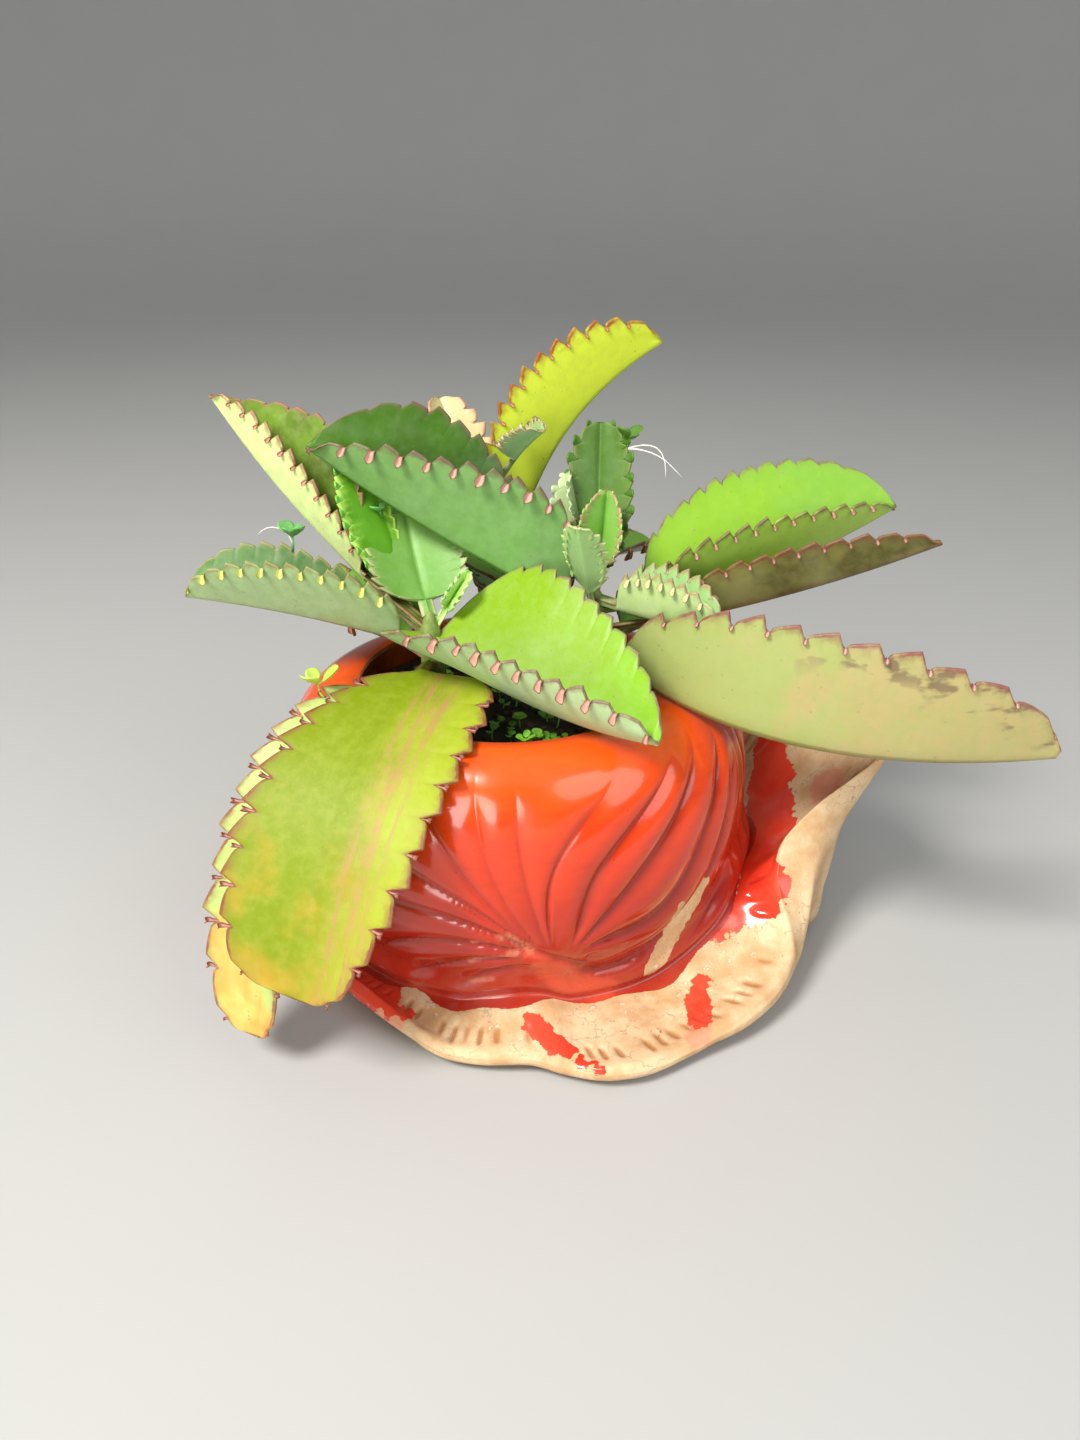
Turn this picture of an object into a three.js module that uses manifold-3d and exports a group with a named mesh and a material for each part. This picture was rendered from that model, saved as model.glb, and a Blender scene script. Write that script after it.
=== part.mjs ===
// A potted mother of thousands: three leafy succulents standing in one shell-shaped ceramic pot.
// Millimetres, +Z up, +X to the right and -Y to the front. The origin is on the table, under the pot's mouth.
import * as THREE from 'three';
import { mergeVertices } from 'three/addons/utils/BufferGeometryUtils.js';
import Module from 'manifold-3d';

const wasm = await Module();
wasm.setup();

const FIT = 0.3;                 // clearance between touching pieces
const RAD = Math.PI / 180;

// Pot
const POT_HEIGHT = 92;
const MOUTH_RADIUS = 46.5;
const BODY_HALF_RIGHT = 76;      // widest half of the round body on the right, and on the left
const BODY_HALF_LEFT = 70.5;
const BODY_HALF_DEPTH = 66;      // the same, front to back
const BELLY_HEIGHT = 54;         // height of the widest ring of the body
const BELLY_DROP = 60;           // how fast the body draws in below its widest ring
const FOOT_RADIUS = 46;
const FOOT_HEIGHT = 1.6;
const FOOT_BLEND = 14;           // over this height the body runs in to the groove of the lip
const FLOOR_HEIGHT = 14;
const FLOOR_RADIUS = 38;
const SHOULDER_BAND = 18;        // the ribs fade in over this height under the mouth
const RIB_DEPTH = 2;
const UMBO = { angle: -76, height: 30 };   // where the ribs of the shell meet
const GATHER = 0.85;             // how far the sections are drawn sideways to the umbo, as a share of the way
const GATHER_FULL = 45;          // sections up to this far from the umbo are drawn in fully
const GATHER_END = { left: 115, right: 110 };   // and from this far not at all
const SINK = 0.75;               // how far the rings are drawn to the umbo's height
const SINK_REACH = 45;
const SINK_START = [0.25, 0.7];  // shares of the way down between which the rings begin to sink
const LOOSE_END = 0.78;          // from this share of the way down the sections are let go again
const SIDE_RIBS = 62;            // beyond this far from the umbo the grooves stand upright, also on the left
const BODY_RINGS = 15;
const LIP_RINGS = 3;

// Where the grooves between the ribs start under the band, in degrees round the pot.
const RIB_GROOVES = [-180, -162, -144, -98, -81, -61, -45, -33, -22, -10, 3, 18, 36, 54, 72, 90, 108, 126,
  144, 162, 180];

// Sections of the pot: from one angle to the next in equal steps.
const SPANS = [[-180, -144, 8], [-144, -98, 11], [-98, -81, 4], [-81, -61, 5], [-61, -45, 4], [-45, -33, 4],
  [-33, -22, 4], [-22, -10, 4], [-10, 3, 4], [3, 18, 4], [18, 180, 36]];

// Soil and stems
const SOIL_HEIGHT = 81;
const SOIL_BUMP = 1.2;
const HOLE_BOTTOM = 68;
const STEM_SIDES = 8;

// Blades
const MARGIN_THICKNESS = 1.1;
const RIB_THICKNESS = 3;
const YOUNG_RIB_THICKNESS = 1.8;
const RIB_TAPER = 0.6;           // share of the midrib's thickness lost by the tip
const PLANTLET_REACH = 2.6;
const PLANTLET_LIFT = 0.6;       // how far a plantlet curls up, as a share of its reach
const TOOTH_CREST = 0.74;        // where a tooth is highest, as a share of its length
const TEETH_END = 0.985;
const FLAT_WIDTH = 3;            // about this width of half a blade or less lies open instead of folded
const OPEN_REACH = 0.4;          // share of the blade's length over which an opened base folds up
const EAR_REACH = 0.3;           // share of the length over which an ear is drawn back

const COLOURS = {
  glaze: 0xd9481f,
  soil: 0x2a2018,
  stem: 0x7f8f45,
  fresh: 0x6db32e,
  olive: 0x93a32a,
  yellow: 0xb4bd2c,
  pale: 0xa9ad72,
  blue: 0x74a36a,
  dark: 0x3f7a26,
  blush: 0xb9ae86,
};

const smooth = (a, b, x) => {
  const s = Math.min(1, Math.max(0, (x - a) / (b - a)));
  return s * s * (3 - 2 * s);
};

// The lip at each angle round the pot (degrees from +X, -90 in front): the groove between body and lip,
// the crest of the lip's edge, and the widest point of the wall under it, each as radius and height.
const LIP = [
  { at: -180, groove: [61, 9], crest: [68, 8], wall: [68, 5.5] },
  { at: -150, groove: [60, 9], crest: [68, 9], wall: [67.5, 6] },
  { at: -130, groove: [58, 9], crest: [69, 12], wall: [70, 8] },
  { at: -115, groove: [58, 10], crest: [71.5, 9.5], wall: [72, 6] },
  { at: -104, groove: [58, 10], crest: [75, 7], wall: [76, 4.5] },
  { at: -94, groove: [57.5, 12], crest: [76, 7.5], wall: [77, 4.5] },
  { at: -85, groove: [57.5, 13], crest: [76.5, 8], wall: [77.5, 5] },
  { at: -79, groove: [57.5, 12], crest: [80, 7.5], wall: [81, 4.5] },
  { at: -72, groove: [58, 9], crest: [86, 7.5], wall: [87, 4.5] },
  { at: -65, groove: [58.5, 8], crest: [89, 8], wall: [90, 4.5] },
  { at: -53, groove: [61, 8], crest: [90, 7.5], wall: [91, 4.5] },
  { at: -42, groove: [64, 9], crest: [94, 11], wall: [95.5, 7] },
  { at: -33, groove: [68, 13], crest: [97, 13], wall: [98, 8] },
  { at: -26, groove: [72, 18], crest: [97.5, 17], wall: [98.5, 9] },
  { at: -22, groove: [74, 22], crest: [94, 24], wall: [99.5, 12] },
  { at: -18, groove: [75, 25], crest: [89.5, 33], wall: [100, 20] },
  { at: -14, groove: [76, 28], crest: [90.5, 44], wall: [100.5, 30] },
  { at: -10, groove: [77, 30], crest: [101, 56], wall: [103, 34] },
  { at: -4, groove: [78, 32], crest: [119, 68], wall: [109, 42] },
  { at: 4, groove: [78, 34], crest: [120, 70], wall: [110, 42] },
  { at: 16, groove: [76, 34], crest: [106, 62], wall: [102, 36] },
  { at: 34, groove: [72, 28], crest: [92, 46], wall: [90, 28] },
  { at: 55, groove: [67, 18], crest: [79, 26], wall: [80, 16] },
  { at: 80, groove: [62, 10], crest: [70, 12], wall: [71, 8] },
  { at: 120, groove: [60, 9], crest: [68, 8], wall: [68, 5.5] },
];

// One value of the lip at an angle, on a smooth curve through the stations that never overshoots them.
function lipValue(angle, point, axis) {
  const count = LIP.length;
  const turn = (j) => LIP[((j % count) + count) % count].at + 360 * Math.floor(j / count);
  const value = (j) => LIP[((j % count) + count) % count][point][axis];
  let k = 0;
  while (turn(k + 1) <= angle) k += 1;
  const span = turn(k + 1) - turn(k);
  const chord = (value(k + 1) - value(k)) / span;
  const limit = (slope) => {
    if (slope * chord <= 0) return 0;
    return Math.sign(slope) * Math.min(Math.abs(slope), 3 * Math.abs(chord));
  };
  const startSlope = limit((value(k + 1) - value(k - 1)) / (turn(k + 1) - turn(k - 1)));
  const endSlope = limit((value(k + 2) - value(k)) / (turn(k + 2) - turn(k)));
  const s = (angle - turn(k)) / span;
  return value(k) * (1 + 2 * s) * (1 - s) ** 2 + span * startSlope * s * (1 - s) ** 2
    + value(k + 1) * s * s * (3 - 2 * s) + span * endSlope * s * s * (s - 1);
}

// How far out the body stands at a height, from 0 at the mouth to 1 at its widest ring.
function bodyFullness(z) {
  if (z < BELLY_HEIGHT) return 1 - ((BELLY_HEIGHT - z) / BELLY_DROP) ** 2;
  const up = Math.min(1, (z - BELLY_HEIGHT) / (POT_HEIGHT - BELLY_HEIGHT));
  return (1 - up ** 3) ** 0.45;
}

// How deep a groove is at a section and ring of the body. Above and to the right of the umbo and round the
// back the grooves run down from the band, to the left of it they run level, a groove on every second ring.
function ribDepth(angle, z, foot) {
  const across = (angle - UMBO.angle) * RAD * BODY_HALF_DEPTH;
  const heading = Math.atan2(z - UMBO.height, across) / RAD;
  let k = 0;
  while (k + 2 < RIB_GROOVES.length && RIB_GROOVES[k + 1] < angle) k += 1;
  const phase = (angle - RIB_GROOVES[k]) / (RIB_GROOVES[k + 1] - RIB_GROOVES[k]);
  const ring = (BODY_RINGS * (POT_HEIGHT - z)) / (POT_HEIGHT - foot);
  const groove = (turns) => (0.5 + 0.5 * Math.cos(2 * Math.PI * turns)) ** 2;
  const ahead = heading > -25 ? smooth(135, 115, heading) : 0;
  const upright = groove(phase) * Math.max(ahead, smooth(SIDE_RIBS, SIDE_RIBS + 16, Math.abs(across)));
  const levelTurn = heading < 0 ? heading + 360 : heading;
  const level = groove(ring / 2) * smooth(130, 150, levelTurn) * smooth(215, 190, levelTurn) * 0.8;
  const underBand = smooth(POT_HEIGHT - 1, POT_HEIGHT - SHOULDER_BAND, z);
  const aboveFoot = smooth(foot, foot + 6, z);
  return RIB_DEPTH * Math.min(1, upright + level) * underBand * aboveFoot;
}

// The body's point for a section and ring: both are drawn towards the umbo, where the ribs gather.
function bodyPoint(angle, z, foot, grooveR) {
  const down = (POT_HEIGHT - z) / (POT_HEIGHT - foot);
  const released = smooth(1, LOOSE_END, down);
  const across = (angle - UMBO.angle) * RAD * BODY_HALF_DEPTH;
  const end = across < 0 ? GATHER_END.left : GATHER_END.right;
  const lowered = Math.min(1, (POT_HEIGHT - z) / (POT_HEIGHT - UMBO.height));
  const gather = 1 - GATHER * lowered * released * smooth(end, GATHER_FULL, Math.abs(across));
  const turn = UMBO.angle + (angle - UMBO.angle) * gather;
  const distance = Math.hypot(across, z - UMBO.height) / SINK_REACH;
  const sink = 1 - SINK * smooth(...SINK_START, down) * released * Math.exp(-(distance ** 2));
  const height = UMBO.height + (z - UMBO.height) * sink;
  const sideways = Math.cos(turn * RAD) > 0 ? BODY_HALF_RIGHT : BODY_HALF_LEFT;
  const bodyRadius = 1 / Math.hypot(Math.cos(turn * RAD) / sideways,
    Math.sin(turn * RAD) / BODY_HALF_DEPTH);
  const full = MOUTH_RADIUS + (bodyRadius - MOUTH_RADIUS) * bodyFullness(height);
  const blend = smooth(foot + FOOT_BLEND, foot, height);
  return [full + (grooveR + 1.5 - full) * blend - ribDepth(angle, z, foot), height, turn];
}

// The half section of the pot at one angle, from the middle of the floor round to the middle of the foot.
function potSection(angle) {
  const [grooveR, grooveZ] = [0, 1].map((axis) => lipValue(angle, 'groove', axis));
  const [crestR, crestZ] = [0, 1].map((axis) => lipValue(angle, 'crest', axis));
  const [wallR, wallZ] = [0, 1].map((axis) => lipValue(angle, 'wall', axis));
  const inner = MOUTH_RADIUS - 1;
  const section = [[FLOOR_RADIUS, FLOOR_HEIGHT], [FLOOR_RADIUS + 7, FLOOR_HEIGHT + 14],
    [inner + 1.5, BELLY_HEIGHT], [inner, POT_HEIGHT - 5], [inner + 0.4, POT_HEIGHT - 0.9]];
  const foot = grooveZ + 4;
  for (let k = 0; k <= BODY_RINGS; k += 1) {
    const z = POT_HEIGHT - ((POT_HEIGHT - foot) * k) / BODY_RINGS;
    section.push(bodyPoint(angle, z, foot, grooveR));
  }
  section.push([grooveR, grooveZ]);
  for (let k = 1; k <= LIP_RINGS; k += 1) {
    const s = k / (LIP_RINGS + 1);
    const dish = 1.2 * Math.sin(Math.PI * s);
    section.push([grooveR + (crestR - grooveR) * s, grooveZ + (crestZ - grooveZ) * s ** 1.4 - dish]);
  }
  section.push([crestR - 1.2, crestZ], [crestR + 0.9, crestZ - 1.4]);
  section.push([crestR + (wallR - crestR) * 0.6 + 0.8, crestZ + (wallZ - crestZ) * 0.55]);
  section.push([wallR, wallZ - 0.6], [wallR - 3, Math.max(2.2, wallZ * 0.4)]);
  section.push([wallR - 9, FOOT_HEIGHT], [FOOT_RADIUS + 2, FOOT_HEIGHT], [FOOT_RADIUS, 0]);
  return section;
}

// A closed solid from equal rings of points, each ring closed on itself, with a point at either end.
function solidFromRings(rings, firstPoint, lastPoint) {
  const positions = [];
  const index = [];
  const size = rings[0].length;
  const at = (k, j) => k * size + (j % size);
  rings.forEach((ring) => ring.forEach((p) => positions.push(p[0], p[1], p[2])));
  for (let k = 0; k + 1 < rings.length; k += 1) {
    for (let j = 0; j < size; j += 1) {
      index.push(at(k, j), at(k, j + 1), at(k + 1, j + 1));
      index.push(at(k, j), at(k + 1, j + 1), at(k + 1, j));
    }
  }
  const first = positions.length / 3;
  positions.push(...firstPoint, ...lastPoint);
  for (let j = 0; j < size; j += 1) {
    index.push(first, at(0, j + 1), at(0, j));
    index.push(first + 1, at(rings.length - 1, j), at(rings.length - 1, j + 1));
  }
  const geometry = new THREE.BufferGeometry();
  geometry.setAttribute('position', new THREE.Float32BufferAttribute(positions, 3));
  geometry.setIndex(index);
  return geometry;
}

function potGeometry() {
  const angles = SPANS.flatMap(([from, to, steps]) => Array.from({ length: steps },
    (_, k) => from + ((to - from) * k) / steps));
  const sections = angles.map(potSection);
  const rings = sections[0].map((_, k) => sections.map((section, j) => {
    const [r, z, turn = angles[j]] = section[k];
    return [r * Math.cos(turn * RAD), r * Math.sin(turn * RAD), z];
  }));
  rings.reverse();
  return solidFromRings(rings, [0, 0, 0], [0, 0, FLOOR_HEIGHT]);
}

// Joining and cutting
function toManifold(geometry) {
  const bare = geometry.clone();
  bare.deleteAttribute('normal');
  bare.deleteAttribute('uv');
  const merged = mergeVertices(bare, 1e-4);
  return new wasm.Manifold(new wasm.Mesh({
    numProp: 3,
    vertProperties: new Float32Array(merged.attributes.position.array),
    triVerts: new Uint32Array(merged.index.array),
  }));
}

function toGeometry(solid) {
  const mesh = solid.getMesh();
  const geometry = new THREE.BufferGeometry();
  geometry.setAttribute('position', new THREE.BufferAttribute(mesh.vertProperties, 3));
  geometry.setIndex(new THREE.BufferAttribute(mesh.triVerts, 1));
  return geometry;
}

// A round, tapering stalk through the given points.
function stalkGeometry(points, radii, sides = STEM_SIDES) {
  const rings = points.map((p, k) => {
    const ahead = new THREE.Vector3(...points[Math.min(k + 1, points.length - 1)]);
    const behind = new THREE.Vector3(...points[Math.max(k - 1, 0)]);
    const along = ahead.sub(behind).normalize();
    const side = new THREE.Vector3(1, 0, 0).cross(along).normalize();
    const front = along.clone().cross(side);
    return Array.from({ length: sides }, (_, j) => {
      const turn = (j * 2 * Math.PI) / sides;
      return new THREE.Vector3(...p).addScaledVector(side, radii[k] * Math.cos(turn))
        .addScaledVector(front, radii[k] * Math.sin(turn)).toArray();
    });
  });
  return solidFromRings(rings, points[0], points[points.length - 1]);
}

// Each stem as the points of its axis and its radius there. Stems swell a little where leaves leave them.
const STEMS = {
  left: {
    axis: [[-22, -4, 68.3], [-22, -4, 84], [-22.5, -4.5, 96], [-23, -5, 106], [-23, -5, 113]],
    radii: [3.4, 3.4, 3.6, 3.2, 1.6],
  },
  right: {
    axis: [[26, 4, 68.3], [26, 4, 84], [26.5, 4, 96], [27, 4, 108], [27, 4, 117]],
    radii: [3.4, 3.4, 3.8, 3.2, 1.6],
  },
  back: {
    axis: [[4, 20, 68.3], [4, 20, 84], [3.5, 22, 100], [2, 26, 118], [0, 27, 132], [-4, 24, 146]],
    radii: [3.2, 3.2, 3.2, 2.8, 2, 1.2],
  },
};

function soilGeometry() {
  const turns = 28;
  const profile = [[FLOOR_RADIUS - 0.6, FLOOR_HEIGHT + FIT], [FLOOR_RADIUS + 6.2, FLOOR_HEIGHT + 14],
    [MOUTH_RADIUS - 0.3, BELLY_HEIGHT], [MOUTH_RADIUS - 1.5, SOIL_HEIGHT - 1],
    [36, SOIL_HEIGHT], [26, SOIL_HEIGHT], [16, SOIL_HEIGHT], [7, SOIL_HEIGHT]];
  const rings = profile.map(([r, z], k) => Array.from({ length: turns }, (_, j) => {
    const turn = (j * 2 * Math.PI) / turns;
    const bump = k < 4 ? 0 : SOIL_BUMP * Math.sin(3 * turn + 1.7 * k) * Math.sin(2 * turn + 0.9 * k);
    return [r * Math.cos(turn), r * Math.sin(turn), z + bump];
  }));
  let soil = toManifold(solidFromRings(rings, [0, 0, FLOOR_HEIGHT + FIT], [0, 0, SOIL_HEIGHT]));
  Object.values(STEMS).forEach(({ axis, radii }) => {
    const [x, y] = axis[0];
    const hole = stalkGeometry([[x, y, HOLE_BOTTOM], [x, y, SOIL_HEIGHT + 6]],
      [radii[0] + FIT, radii[0] + FIT]);
    soil = soil.subtract(toManifold(hole));
  });
  return toGeometry(soil);
}

// A leaf is a trough folded along its midrib. Each half has a width, a fold up from level, a further curl
// towards the margin, a fullness at the base and at the tip, and an ear that reaches back past the stalk.
const half = (width, fold, curl, base, tip, ear = 0) => ({ width, fold, curl, base, tip, ear });

const LEAVES = [
  {
    name: 'leaf_drooping', stem: 'left', from: 98, to: [-54, -86, 36], arch: 48, sway: -9, stalk: 0.08,
    left: half(24, -12, 14, 0.08, 0.3), right: half(25, 4, 12, 0.5, 0.2),
    teeth: 10, toothDepth: 2.4, colour: 'yellow',
  },
  {
    name: 'leaf_drooping_low', stem: 'left', from: 94.5, to: [-70, -75, 13], arch: 54, sway: 4,
    bend: 0.3, stalk: 0.2,
    left: half(8, 2, 10, 0.5, 0.25), right: half(18, 6, 10, 0.4, 0.25),
    teeth: 10, toothDepth: 2.4, colour: 'olive',
  },
  {
    name: 'leaf_front', stem: 'left', from: 106.5, to: [41, -58, 98], arch: -11.5, twist: -16,
    open: 0.6, stalk: 0.06,
    left: half(35.5, 45, 14, 0.22, 0.6, 6), right: half(28, 28, 42, 0.1, 0.5, 12),
    teeth: 11, toothDepth: 2.4, colour: 'fresh',
  },
  {
    name: 'leaf_across', stem: 'right', from: 110, to: [-57, 5, 161], arch: -5, twist: -40, stalk: 0.12,
    left: half(25, 72, 10, 0.3, 0.75), right: half(30, 55, 10, 0.9, 0.6),
    teeth: 11, toothDepth: 2.2, colour: 'blue',
  },
  {
    name: 'leaf_upper_left', stem: 'left', from: 108, to: [-88, 24, 172], arch: -8, sway: -2, roll: -6,
    twist: 10, stalk: 0.26,
    left: half(15, 66, 10, 0.7, 0.7), right: half(24, 62, 10, 1.2, 1.2),
    teeth: 12, toothDepth: 2, colour: 'olive',
  },
  {
    name: 'leaf_left', stem: 'left', from: 103, to: [-95, -4, 119], arch: 4, stalk: 0.14,
    left: half(20, 54, 10, 0.3, 0.5), right: half(18, 54, 10, 0.8, 0.5),
    teeth: 11, toothDepth: 2, colour: 'blue',
  },
  {
    name: 'leaf_left_back', stem: 'left', from: 104, to: [-50, 47, 147], stalk: 0.35,
    left: half(14, 25, 10, 0.45, 0.5), right: half(14, 25, 10, 0.45, 0.5),
    teeth: 8, toothDepth: 1.6, colour: 'dark',
  },
  {
    name: 'leaf_left_round', stem: 'left', from: 112.5, to: [-31, 16, 138], arch: -4, stalk: 0.16,
    left: half(15.5, 15, 10, 0.35, 0.35), right: half(14, 15, 10, 0.35, 0.35),
    teeth: 8, toothDepth: 1.4, colour: 'blue',
  },
  {
    name: 'leaf_behind', stem: 'back', from: 114, to: [-23, 56, 165], stalk: 0.3,
    left: half(12, 20, 10, 0.4, 0.35), right: half(9, 20, 10, 0.4, 0.35),
    teeth: 8, toothDepth: 1.8, colour: 'blush',
  },
  {
    name: 'leaf_tall', stem: 'back', from: 124, to: [48, 48, 184], arch: 13, sway: -12, roll: -30,
    stalk: 0.15,
    left: half(14.5, 30, 10, 0.5, 0.6), right: half(22, 50, 10, 0.35, 0.5),
    teeth: 12, toothDepth: 2.2, colour: 'yellow',
  },
  {
    name: 'leaf_upper_right', stem: 'right', from: 111, to: [119, 18, 140], arch: -11, stalk: 0.16,
    left: half(30, 56, 10, 0.42, 0.45), right: half(22, 52, 10, 0.45, 0.8),
    teeth: 12, toothDepth: 2, colour: 'fresh',
  },
  {
    name: 'leaf_right', stem: 'right', from: 104.5, to: [122, -16, 139], arch: -6, stalk: 0.2,
    left: half(17, -4, 0, 0.4, 0.6), right: half(17, 58, 10, 0.4, 0.6),
    teeth: 11, toothDepth: 1.8, colour: 'olive',
  },
  {
    name: 'leaf_lower_right', stem: 'right', from: 102, to: [153, -45, 87], arch: -12, sway: 42,
    bend: 0.42, stalk: 0.1,
    left: half(24, 55, 5, 0.3, 0.6), right: half(33, 82, 5, 0.45, 0.5),
    teeth: 11, toothDepth: 2.4, colour: 'pale',
  },
  {
    name: 'leaf_back_left', stem: 'back', from: 108, to: [-40, 92, 112], arch: 8, stalk: 0.14, plain: true,
    left: half(17, 20, 10, 0.45, 0.5), right: half(17, 20, 10, 0.45, 0.5),
    teeth: 8, toothDepth: 2, colour: 'fresh',
  },
  {
    name: 'leaf_back', stem: 'back', from: 98, to: [5, 98, 84], arch: 14, stalk: 0.14, plain: true,
    left: half(19, 15, 10, 0.4, 0.5), right: half(19, 15, 10, 0.4, 0.5),
    teeth: 8, toothDepth: 2, colour: 'olive',
  },
  {
    name: 'leaf_back_right', stem: 'back', from: 105, to: [56, 86, 104], arch: 12, stalk: 0.14, plain: true,
    left: half(17, 20, 10, 0.45, 0.5), right: half(17, 20, 10, 0.45, 0.5),
    teeth: 8, toothDepth: 2, colour: 'fresh',
  },
  {
    name: 'leaf_right_back', stem: 'right', from: 98, to: [96, 66, 100], arch: 8, stalk: 0.16, plain: true,
    left: half(17, 20, 10, 0.45, 0.5), right: half(17, 20, 10, 0.45, 0.5),
    teeth: 8, toothDepth: 2, colour: 'fresh',
  },
  {
    name: 'leaf_left_rear', stem: 'left', from: 98, to: [-84, 52, 100], arch: 8, stalk: 0.16, plain: true,
    left: half(17, 20, 10, 0.45, 0.5), right: half(17, 20, 10, 0.45, 0.5),
    teeth: 8, toothDepth: 2, colour: 'fresh',
  },
  {
    name: 'young_leaf_left', stem: 'left', from: 107, to: [-11, 0, 125], roll: 60, stalk: 0.4, young: true,
    left: half(4, 60, 0, 0.35, 0.5), right: half(4, 60, 0, 0.35, 0.5),
    teeth: 5, toothDepth: 0.8, colour: 'fresh',
  },
  {
    name: 'young_leaf_hooked', stem: 'back', from: 144, to: [11, 16, 163], arch: 3, stalk: 0.45, young: true,
    left: half(8, 30, 10, 0.35, 0.5), right: half(7, 30, 10, 0.35, 0.5),
    teeth: 6, toothDepth: 1.4, colour: 'blue',
  },
  {
    name: 'young_leaf_shaded', stem: 'right', from: 109.3, to: [28.5, 28, 163], arch: -4, stalk: 0.25,
    young: true,
    left: half(8.5, 20, 10, 0.4, 0.35), right: half(9.5, 20, 10, 0.4, 0.35),
    teeth: 8, toothDepth: 1.6, colour: 'dark',
  },
  {
    name: 'young_leaf_edge', stem: 'right', from: 110.5, to: [18.5, 18, 150], roll: -70, stalk: 0.35,
    young: true,
    left: half(6, 60, 0, 0.35, 0.5), right: half(6, 60, 0, 0.35, 0.5),
    teeth: 7, toothDepth: 1.2, colour: 'pale',
  },
  {
    name: 'young_leaf_middle', stem: 'right', from: 115.4, to: [30, 9, 147], roll: 20, stalk: 0.3,
    young: true,
    left: half(9, 50, 0, 0.4, 0.5), right: half(9, 50, 0, 0.4, 0.5),
    teeth: 7, toothDepth: 1.2, colour: 'dark',
  },
  {
    name: 'young_leaf_pale', stem: 'right', from: 107, to: [20.5, -12, 142], stalk: 0.35, young: true,
    left: half(6, 30, 0, 0.4, 0.5), right: half(8, 30, 0, 0.4, 0.5),
    teeth: 7, toothDepth: 1.2, colour: 'blue',
  },
  {
    name: 'young_leaf_right', stem: 'right', from: 114.6, to: [61, -24, 116], arch: -2, stalk: 0.2,
    left: half(14, 62, 10, 0.3, 0.45), right: half(13, 70, 10, 0.3, 0.45),
    teeth: 8, toothDepth: 1.6, colour: 'blue',
  },
];

// The point of a stem's axis at a height.
function stemPoint(stem, z) {
  const { axis } = STEMS[stem];
  let k = 0;
  while (k + 2 < axis.length && axis[k + 1][2] < z) k += 1;
  const s = (z - axis[k][2]) / (axis[k + 1][2] - axis[k][2]);
  return new THREE.Vector3(...axis[k]).lerp(new THREE.Vector3(...axis[k + 1]), s);
}

// The midrib's point at t with the directions along it, out of the blade's face and to its right.
function leafFrame(leaf, t) {
  const from = stemPoint(leaf.stem, leaf.from);
  const to = new THREE.Vector3(...leaf.to);
  const chord = to.clone().sub(from).normalize();
  const side = chord.clone().cross(new THREE.Vector3(0, 0, 1)).normalize();
  const up = side.clone().cross(chord);
  const control = from.clone().lerp(to, leaf.bend ?? 0.5).addScaledVector(up, leaf.arch ?? 0)
    .addScaledVector(side, leaf.sway ?? 0);
  const point = from.clone().multiplyScalar((1 - t) ** 2).addScaledVector(control, 2 * t * (1 - t))
    .addScaledVector(to, t * t);
  const along = control.clone().sub(from).multiplyScalar(2 * (1 - t))
    .addScaledVector(to.clone().sub(control), 2 * t).normalize();
  const roll = ((leaf.roll ?? 0) + (leaf.twist ?? 0) * (t - 0.5)) * RAD;
  const face = up.multiplyScalar(Math.cos(roll)).addScaledVector(side, Math.sin(roll));
  face.addScaledVector(along, -along.dot(face)).normalize();
  return { point, along, face, right: along.clone().cross(face) };
}

// Half the blade's width at t: a short stalk, then a curve that is full at the base and drawn out to the tip.
function halfWidth(leaf, side, t) {
  const neck = leaf.young ? 1.2 : 2.4;
  const s = (t - leaf.stalk) / (1 - leaf.stalk);
  if (s <= 0) return neck;
  const widest = side.base / (side.base + side.tip);
  const shape = (s / widest) ** side.base * ((1 - s) / (1 - widest)) ** side.tip;
  return Math.max(side.width * shape, neck * (1 - s) ** 2 + 0.5);
}

// A point of the blade, u running from -1 at the left margin over 0 on the midrib to 1 at the right one.
function bladePoint(frame, leaf, t, u, tooth) {
  const side = u < 0 ? leaf.left : leaf.right;
  const sign = u < 0 ? -1 : 1;
  const width = halfWidth(leaf, side, t);
  const out = Math.abs(u) * (width + tooth);
  const flattened = Math.min(1, width / (FLAT_WIDTH + 0.1 * side.width));
  const opened = flattened * (1 - (leaf.open ?? 0) * Math.max(0, 1 - t / OPEN_REACH) ** 2);
  const fold = side.fold * opened * RAD;
  const bend = (side.curl * opened * RAD) / width;
  const lean = fold + bend * out;
  const across = bend === 0 ? out * Math.cos(fold) : (Math.sin(lean) - Math.sin(fold)) / bend;
  const rise = bend === 0 ? out * Math.sin(fold) : (Math.cos(fold) - Math.cos(lean)) / bend;
  const ear = side.ear * u * u * Math.max(0, 1 - t / EAR_REACH) ** 2;
  const point = frame.point.clone().addScaledVector(frame.along, -ear)
    .addScaledVector(frame.right, sign * across).addScaledVector(frame.face, rise);
  const tilt = u === 0 ? 0 : lean;
  const normal = frame.face.clone().multiplyScalar(Math.cos(tilt))
    .addScaledVector(frame.right, -sign * Math.sin(tilt));
  return { point, normal, outward: frame.right.clone().multiplyScalar(sign * Math.cos(lean))
    .addScaledVector(frame.face, Math.sin(lean)) };
}

// Stations along the blade: each tooth rises gently from its notch and drops steeply towards the tip.
function leafStations(leaf) {
  const start = leaf.stalk + 0.02;
  const step = (TEETH_END - start) / leaf.teeth;
  const stations = [{ t: 0, peak: 0 }, { t: leaf.stalk, peak: 0 }];
  for (let k = 0; k < leaf.teeth; k += 1) {
    stations.push({ t: start + step * k, peak: 0 });
    stations.push({ t: start + step * (k + TOOTH_CREST), peak: 1 });
  }
  stations.push({ t: TEETH_END, peak: 0 }, { t: 1, peak: 0 });
  return stations;
}

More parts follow.
